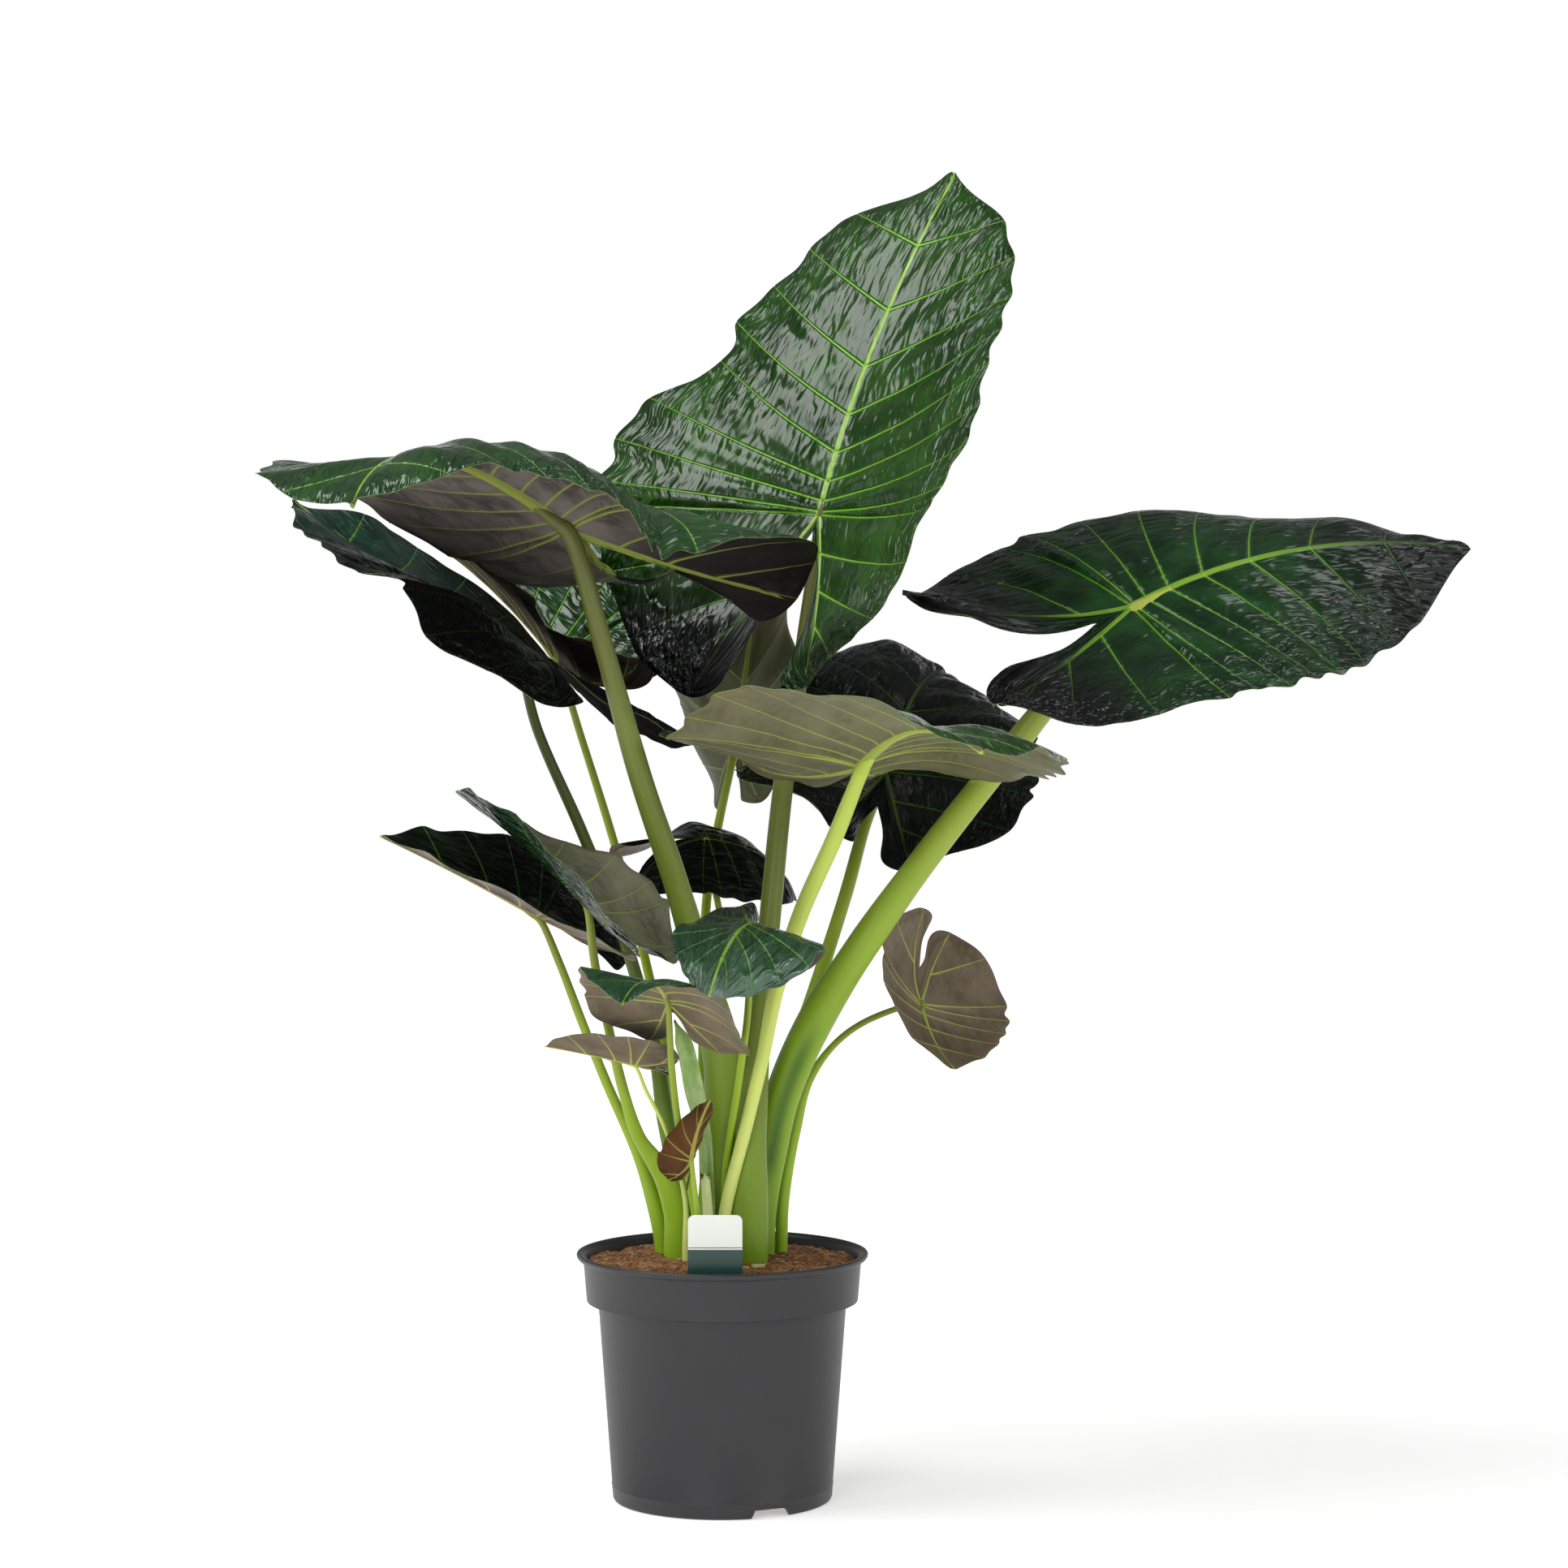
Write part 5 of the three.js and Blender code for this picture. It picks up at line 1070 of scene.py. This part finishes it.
print("growing medium")
radii = np.linspace(0, 1, soil["rings"] + 1)[1:] ** 0.8
soilPoints = [(0.0, 0.0, float(soilRelief(np.zeros(1), np.zeros(1))[0]))]
for share in radii:
    angle = np.arange(soil["sides"]) / soil["sides"] * 2 * math.pi
    x, y = share * soil["radius"] * np.cos(angle), share * soil["radius"] * np.sin(angle)
    z = soilRelief(x, y)
    soilPoints += list(zip(x.tolist(), y.tolist(), z.tolist()))
for radius, z in soil["below"]:
    angle = np.arange(soil["sides"]) / soil["sides"] * 2 * math.pi
    soilPoints += [(radius * math.cos(a), radius * math.sin(a), z) for a in angle]
soilFaces = [(0, 1 + k, 1 + (k + 1) % soil["sides"]) for k in range(soil["sides"])]
for r in range(len(radii) + 2):
    for k in range(soil["sides"]):
        n = (k + 1) % soil["sides"]
        low, high = 1 + r * soil["sides"], 1 + (r + 1) * soil["sides"]
        soilFaces.append((low + k, high + k, high + n, low + n))
soilFaces.append(tuple(1 + (len(radii) + 2) * soil["sides"] + k for k in reversed(range(soil["sides"]))))
meshPiece("growingMedium", soilPoints, soilFaces, [soilFinish()], replaced=["soil"])

# Loose fibres on the growing medium; the tones are name, share, dark and light
fibre = dict(
    count=5200, seed=4, steps=5, spread=0.965, length=0.004, lengthMore=0.014, bend=2.4, lift=0.0012,
    thick=0.00018, thickMore=0.00022,
    tones=[("fibreBrown", 0.45, (0.110, 0.044, 0.018), (0.260, 0.110, 0.042)),
           ("fibreRust", 0.38, (0.300, 0.135, 0.055), (0.480, 0.240, 0.105)),
           ("fibreStraw", 0.17, (0.480, 0.310, 0.160), (0.740, 0.560, 0.350))],
)
draw = np.random.default_rng(fibre["seed"])
fibrePoints, fibreFaces, fibreKinds = [], [], []
fibreSteps = fibre["steps"]
for i in range(fibre["count"]):
    reach = soil["radius"] * fibre["spread"] * math.sqrt(draw.random())
    angle = draw.random() * 2 * math.pi
    heading = draw.random() * 2 * math.pi
    length = fibre["length"] + fibre["lengthMore"] * draw.random() ** 2
    bend = (draw.random() - 0.5) * fibre["bend"]
    lift = fibre["lift"] * draw.random() ** 2
    thick = fibre["thick"] + fibre["thickMore"] * draw.random() ** 2
    kind = int(draw.choice([0, 1, 2], p=[share for _, share, _, _ in fibre["tones"]]))
    x, y = reach * math.cos(angle), reach * math.sin(angle)
    start = len(fibrePoints)
    sound = True
    for s in range(fibreSteps):
        t = s / (fibreSteps - 1)
        arch = lift * math.sin(math.pi * t)
        z = float(soilRelief(np.array([x]), np.array([y]))[0]) + thick * 0.6 + arch
        side = heading + math.pi / 2
        r = thick * (1 - 0.6 * abs(2 * t - 1))
        fibrePoints += [(x + r * math.cos(side), y + r * math.sin(side), z - r * 0.6),
                        (x - r * math.cos(side), y - r * math.sin(side), z - r * 0.6), (x, y, z + r)]
        sound = sound and math.hypot(x, y) < soil["radius"] - 0.001
        x += length / (fibreSteps - 1) * math.cos(heading)
        y += length / (fibreSteps - 1) * math.sin(heading)
        heading += bend / (fibreSteps - 1)
    if not sound:
        del fibrePoints[start:]
        continue
    for s in range(fibreSteps - 1):
        low, high = start + 3 * s, start + 3 * s + 3
        for a, b in ((0, 1), (1, 2), (2, 0)):
            fibreFaces.append((low + a, low + b, high + b, high + a))
            fibreKinds.append(kind)
    end = start + 3 * fibreSteps
    fibreFaces += [(start, start + 2, start + 1), (end - 3, end - 2, end - 1)]
    fibreKinds += [kind, kind]
fibreFinishes = [fibreFinish(name, dark, light) for name, _, dark, light in fibre["tones"]]
meshPiece("looseFibres", fibrePoints, fibreFaces, fibreFinishes, fibreKinds)


# Plant label
label = dict(width=0.049, top=0.279, shoulder=0.196, point=0.15, thick=0.0009, corner=0.006, cornerSteps=9,
             centre=(-0.005, -0.108), sharpAbove=30, band=0.2475, bevel=0.00015, pale=(0.68, 0.70, 0.65),
             green=(0.010, 0.045, 0.038))


def labelFinish():
    finish = Finish("labelCard", label["pale"])
    where = finish.where()
    _, _, z = finish.split(where)
    speck = finish.cloud(where, 700.0, 2.0)
    card = finish.blend(z.ramp(label["band"] + 0.0003, label["band"] - 0.0003), label["pale"], label["green"])
    lineTop = z.ramp(label["band"] + 0.0022, label["band"] + 0.0019)
    lineFoot = z.ramp(label["band"] + 0.0012, label["band"] + 0.0015)
    card = finish.blend(lineTop * lineFoot, card, label["green"])
    return finish.surface(card, 0.32 + (speck - 0.5) * 0.08, finish.bump(speck, 0.05, 0.0002))


print("label, dried sheath, stub and chips")
half, corner = label["width"] / 2, label["corner"]
outline = [(0.0, label["point"]), (half, label["shoulder"])]
for side in (1, -1):
    for a in np.linspace(0, math.pi / 2, label["cornerSteps"]) + (side < 0) * math.pi / 2:
        x, z = side * (half - corner) + corner * math.cos(a), label["top"] - corner + corner * math.sin(a)
        outline.append((x, z))
outline.append((-half, label["shoulder"]))
cx, cy = label["centre"]
labelPoints = []
for inset, depth in ((label["bevel"], -0.5), (0, -0.35), (0, 0.35), (label["bevel"], 0.5)):
    for x, z in outline:
        labelPoints.append((cx + x * (1 - inset / half), cy + depth * label["thick"],
                            z - inset * (z > label["shoulder"])))
count = len(outline)
labelFaces = [tuple(range(count)), tuple(3 * count + k for k in reversed(range(count)))]
for r in range(3):
    for k in range(count):
        n = (k + 1) % count
        labelFaces.append((r * count + n, r * count + k, (r + 1) * count + k, (r + 1) * count + n))
labelPiece = meshPiece("plantLabel", labelPoints, labelFaces, [labelFinish()],
                       replaced=["label"])
sharpen(labelPiece, label["sharpAbove"])


# Small dry pieces
driedSheath = dict(
    route=[(-0.009, -0.030, 0.200, 0.004), (-0.012, -0.031, 0.290, 0.0055), (-0.017, -0.032, 0.345, 0.007),
           (-0.025, -0.034, 0.383, 0.009), (-0.034, -0.037, 0.425, 0.008), (-0.043, -0.040, 0.448, 0.0012)],
    thick=0.0008, fold=0.002, columns=14, stepsPerSpan=10, pale=(0.36, 0.50, 0.20), tinge=(0.24, 0.40, 0.08),
)
paperStreak = (0.62, 0.66, 0.42)


def paperFinish(name, pale, tinge):
    finish = Finish(name, pale)
    where = finish.where()
    streak = finish.cloud(finish.scaled(where, (500.0, 500.0, 40.0)), 1.0, 4.0)
    patch = finish.cloud(where, 60.0, 3.0)
    skin = finish.blend(patch.ramp(0.35, 0.65), pale, tinge)
    skin = finish.blend(streak.ramp(0.5, 0.75) * 0.5, skin, paperStreak)
    return finish.surface(skin, 0.5, finish.bump(streak, 0.6, 0.0008))


spans = len(driedSheath["route"]) - 1
line = routeAt(driedSheath["route"], np.linspace(0, spans, spans * driedSheath["stepsPerSpan"] + 1))
across, deep = crossAxes(line)
t = np.linspace(-1, 1, driedSheath["columns"])
crumple = softNoise(np.arange(len(line))[:, None] / 4.0 + 0 * t, 3 * t + np.zeros((len(line), 1)), 12)
crinkle = driedSheath["fold"] * (np.cos(t * 3.1) + 0.4 * crumple)
front = line[:, None, :3] + across[:, None] * (line[:, 3:4] * t)[..., None]
front = front + deep[:, None] * crinkle[..., None]
back = front + deep[:, None] * driedSheath["thick"]
rows, columns = front.shape[:2]
grid = np.arange(rows * columns).reshape(rows, columns)
sheathFaces = []
for i in range(rows - 1):
    for k in range(columns - 1):
        a, b, c, d = grid[i, k], grid[i, k + 1], grid[i + 1, k + 1], grid[i + 1, k]
        sheathFaces += [(a, d, c, b), tuple(v + rows * columns for v in (a, b, c, d))]
edge = [grid[0, k] for k in range(columns)] + [grid[i, columns - 1] for i in range(1, rows)]
edge += [grid[rows - 1, k] for k in range(columns - 2, -1, -1)] + [grid[i, 0] for i in range(rows - 2, 0, -1)]
for a, b in zip(edge, edge[1:] + edge[:1]):
    sheathFaces.append((a, b, b + rows * columns, a + rows * columns))
meshPiece("driedSheath", np.concatenate([front.reshape(-1, 3), back.reshape(-1, 3)]), sheathFaces,
          [paperFinish("dryGreenPaper", driedSheath["pale"], driedSheath["tinge"])],
          replaced=["dried_sheath"])

cutStub = dict(
    route=[(-0.011, -0.050, 0.200, 0.005), (-0.011, -0.050, 0.250, 0.0048), (-0.013, -0.051, 0.280, 0.0046),
           (-0.015, -0.052, 0.306, 0.0044)],
    sides=24, stepsPerSpan=12, torn=[(3, 0.0035), (7, 0.0012)], pale=(0.50, 0.56, 0.24),
    tinge=(0.42, 0.52, 0.16),
)
points, faces, climb, around, _, _ = tube(cutStub["route"], cutStub["sides"], cutStub["stepsPerSpan"])
for waves, height in cutStub["torn"]:
    points[:, 2] += np.where(climb > 0.999, height * np.sin(around * waves), 0)
meshPiece("cutStub", points, faces, [paperFinish("paleCutStem", cutStub["pale"], cutStub["tinge"])],
          replaced=["cut_stub"])

chips = [dict(centre=(0.034, -0.050), length=0.015, width=0.006, height=0.004, turn=20, node="chip_1"),
         dict(centre=(0.022, -0.058), length=0.009, width=0.005, height=0.003, turn=-35, node="chip_2")]
chipOutline = [(-0.5, -0.33), (0.33, -0.5), (0.5, 0.0), (0.25, 0.5), (-0.5, 0.33)]
chipRings = [(0.0, 0.9), (0.25, 1.0), (0.8, 0.96), (1.0, 0.82)]
chipSink = 0.0015
chipFinish = paperFinish("paleChip", (0.58, 0.56, 0.26), (0.44, 0.42, 0.14))
for chip in chips:
    x, y = chip["centre"]
    base = float(soilHeight(np.array([x]), np.array([y]))[0]) - chipSink
    cosTurn, sinTurn = math.cos(math.radians(chip["turn"])), math.sin(math.radians(chip["turn"]))
    rings = []
    for share, grow in chipRings:
        for a, b in chipOutline:
            px, py = a * chip["length"] * grow, b * chip["width"] * grow
            rings.append((x + px * cosTurn - py * sinTurn, y + px * sinTurn + py * cosTurn,
                          base + chip["height"] * share))
    chipFaces = [(4, 3, 2, 1, 0), (15, 16, 17, 18, 19)]
    for r in range(0, 15, 5):
        chipFaces += [(r + k, r + (k + 1) % 5, r + 5 + (k + 1) % 5, r + 5 + k) for k in range(5)]
    meshPiece(chip["node"] + "_pale", rings, chipFaces, [chipFinish], smooth=False,
              replaced=[chip["node"]])

# The root inside the growing medium keeps its shape and gets bark
barkTones = dict(middle=(0.10, 0.05, 0.025), dark=(0.05, 0.025, 0.012), light=(0.17, 0.09, 0.045))
bark = Finish("rootBark", barkTones["middle"])
barkNoise = bark.cloud(bark.where(), 90.0, 5.0)
barkSkin = bark.blend(barkNoise.ramp(0.3, 0.7), barkTones["dark"], barkTones["light"])
rootLooks = nodes["rootstock"].data.materials
rootLooks.clear()
rootLooks.append(bark.surface(barkSkin, 0.85, bark.bump(barkNoise, 0.8, 0.003)))
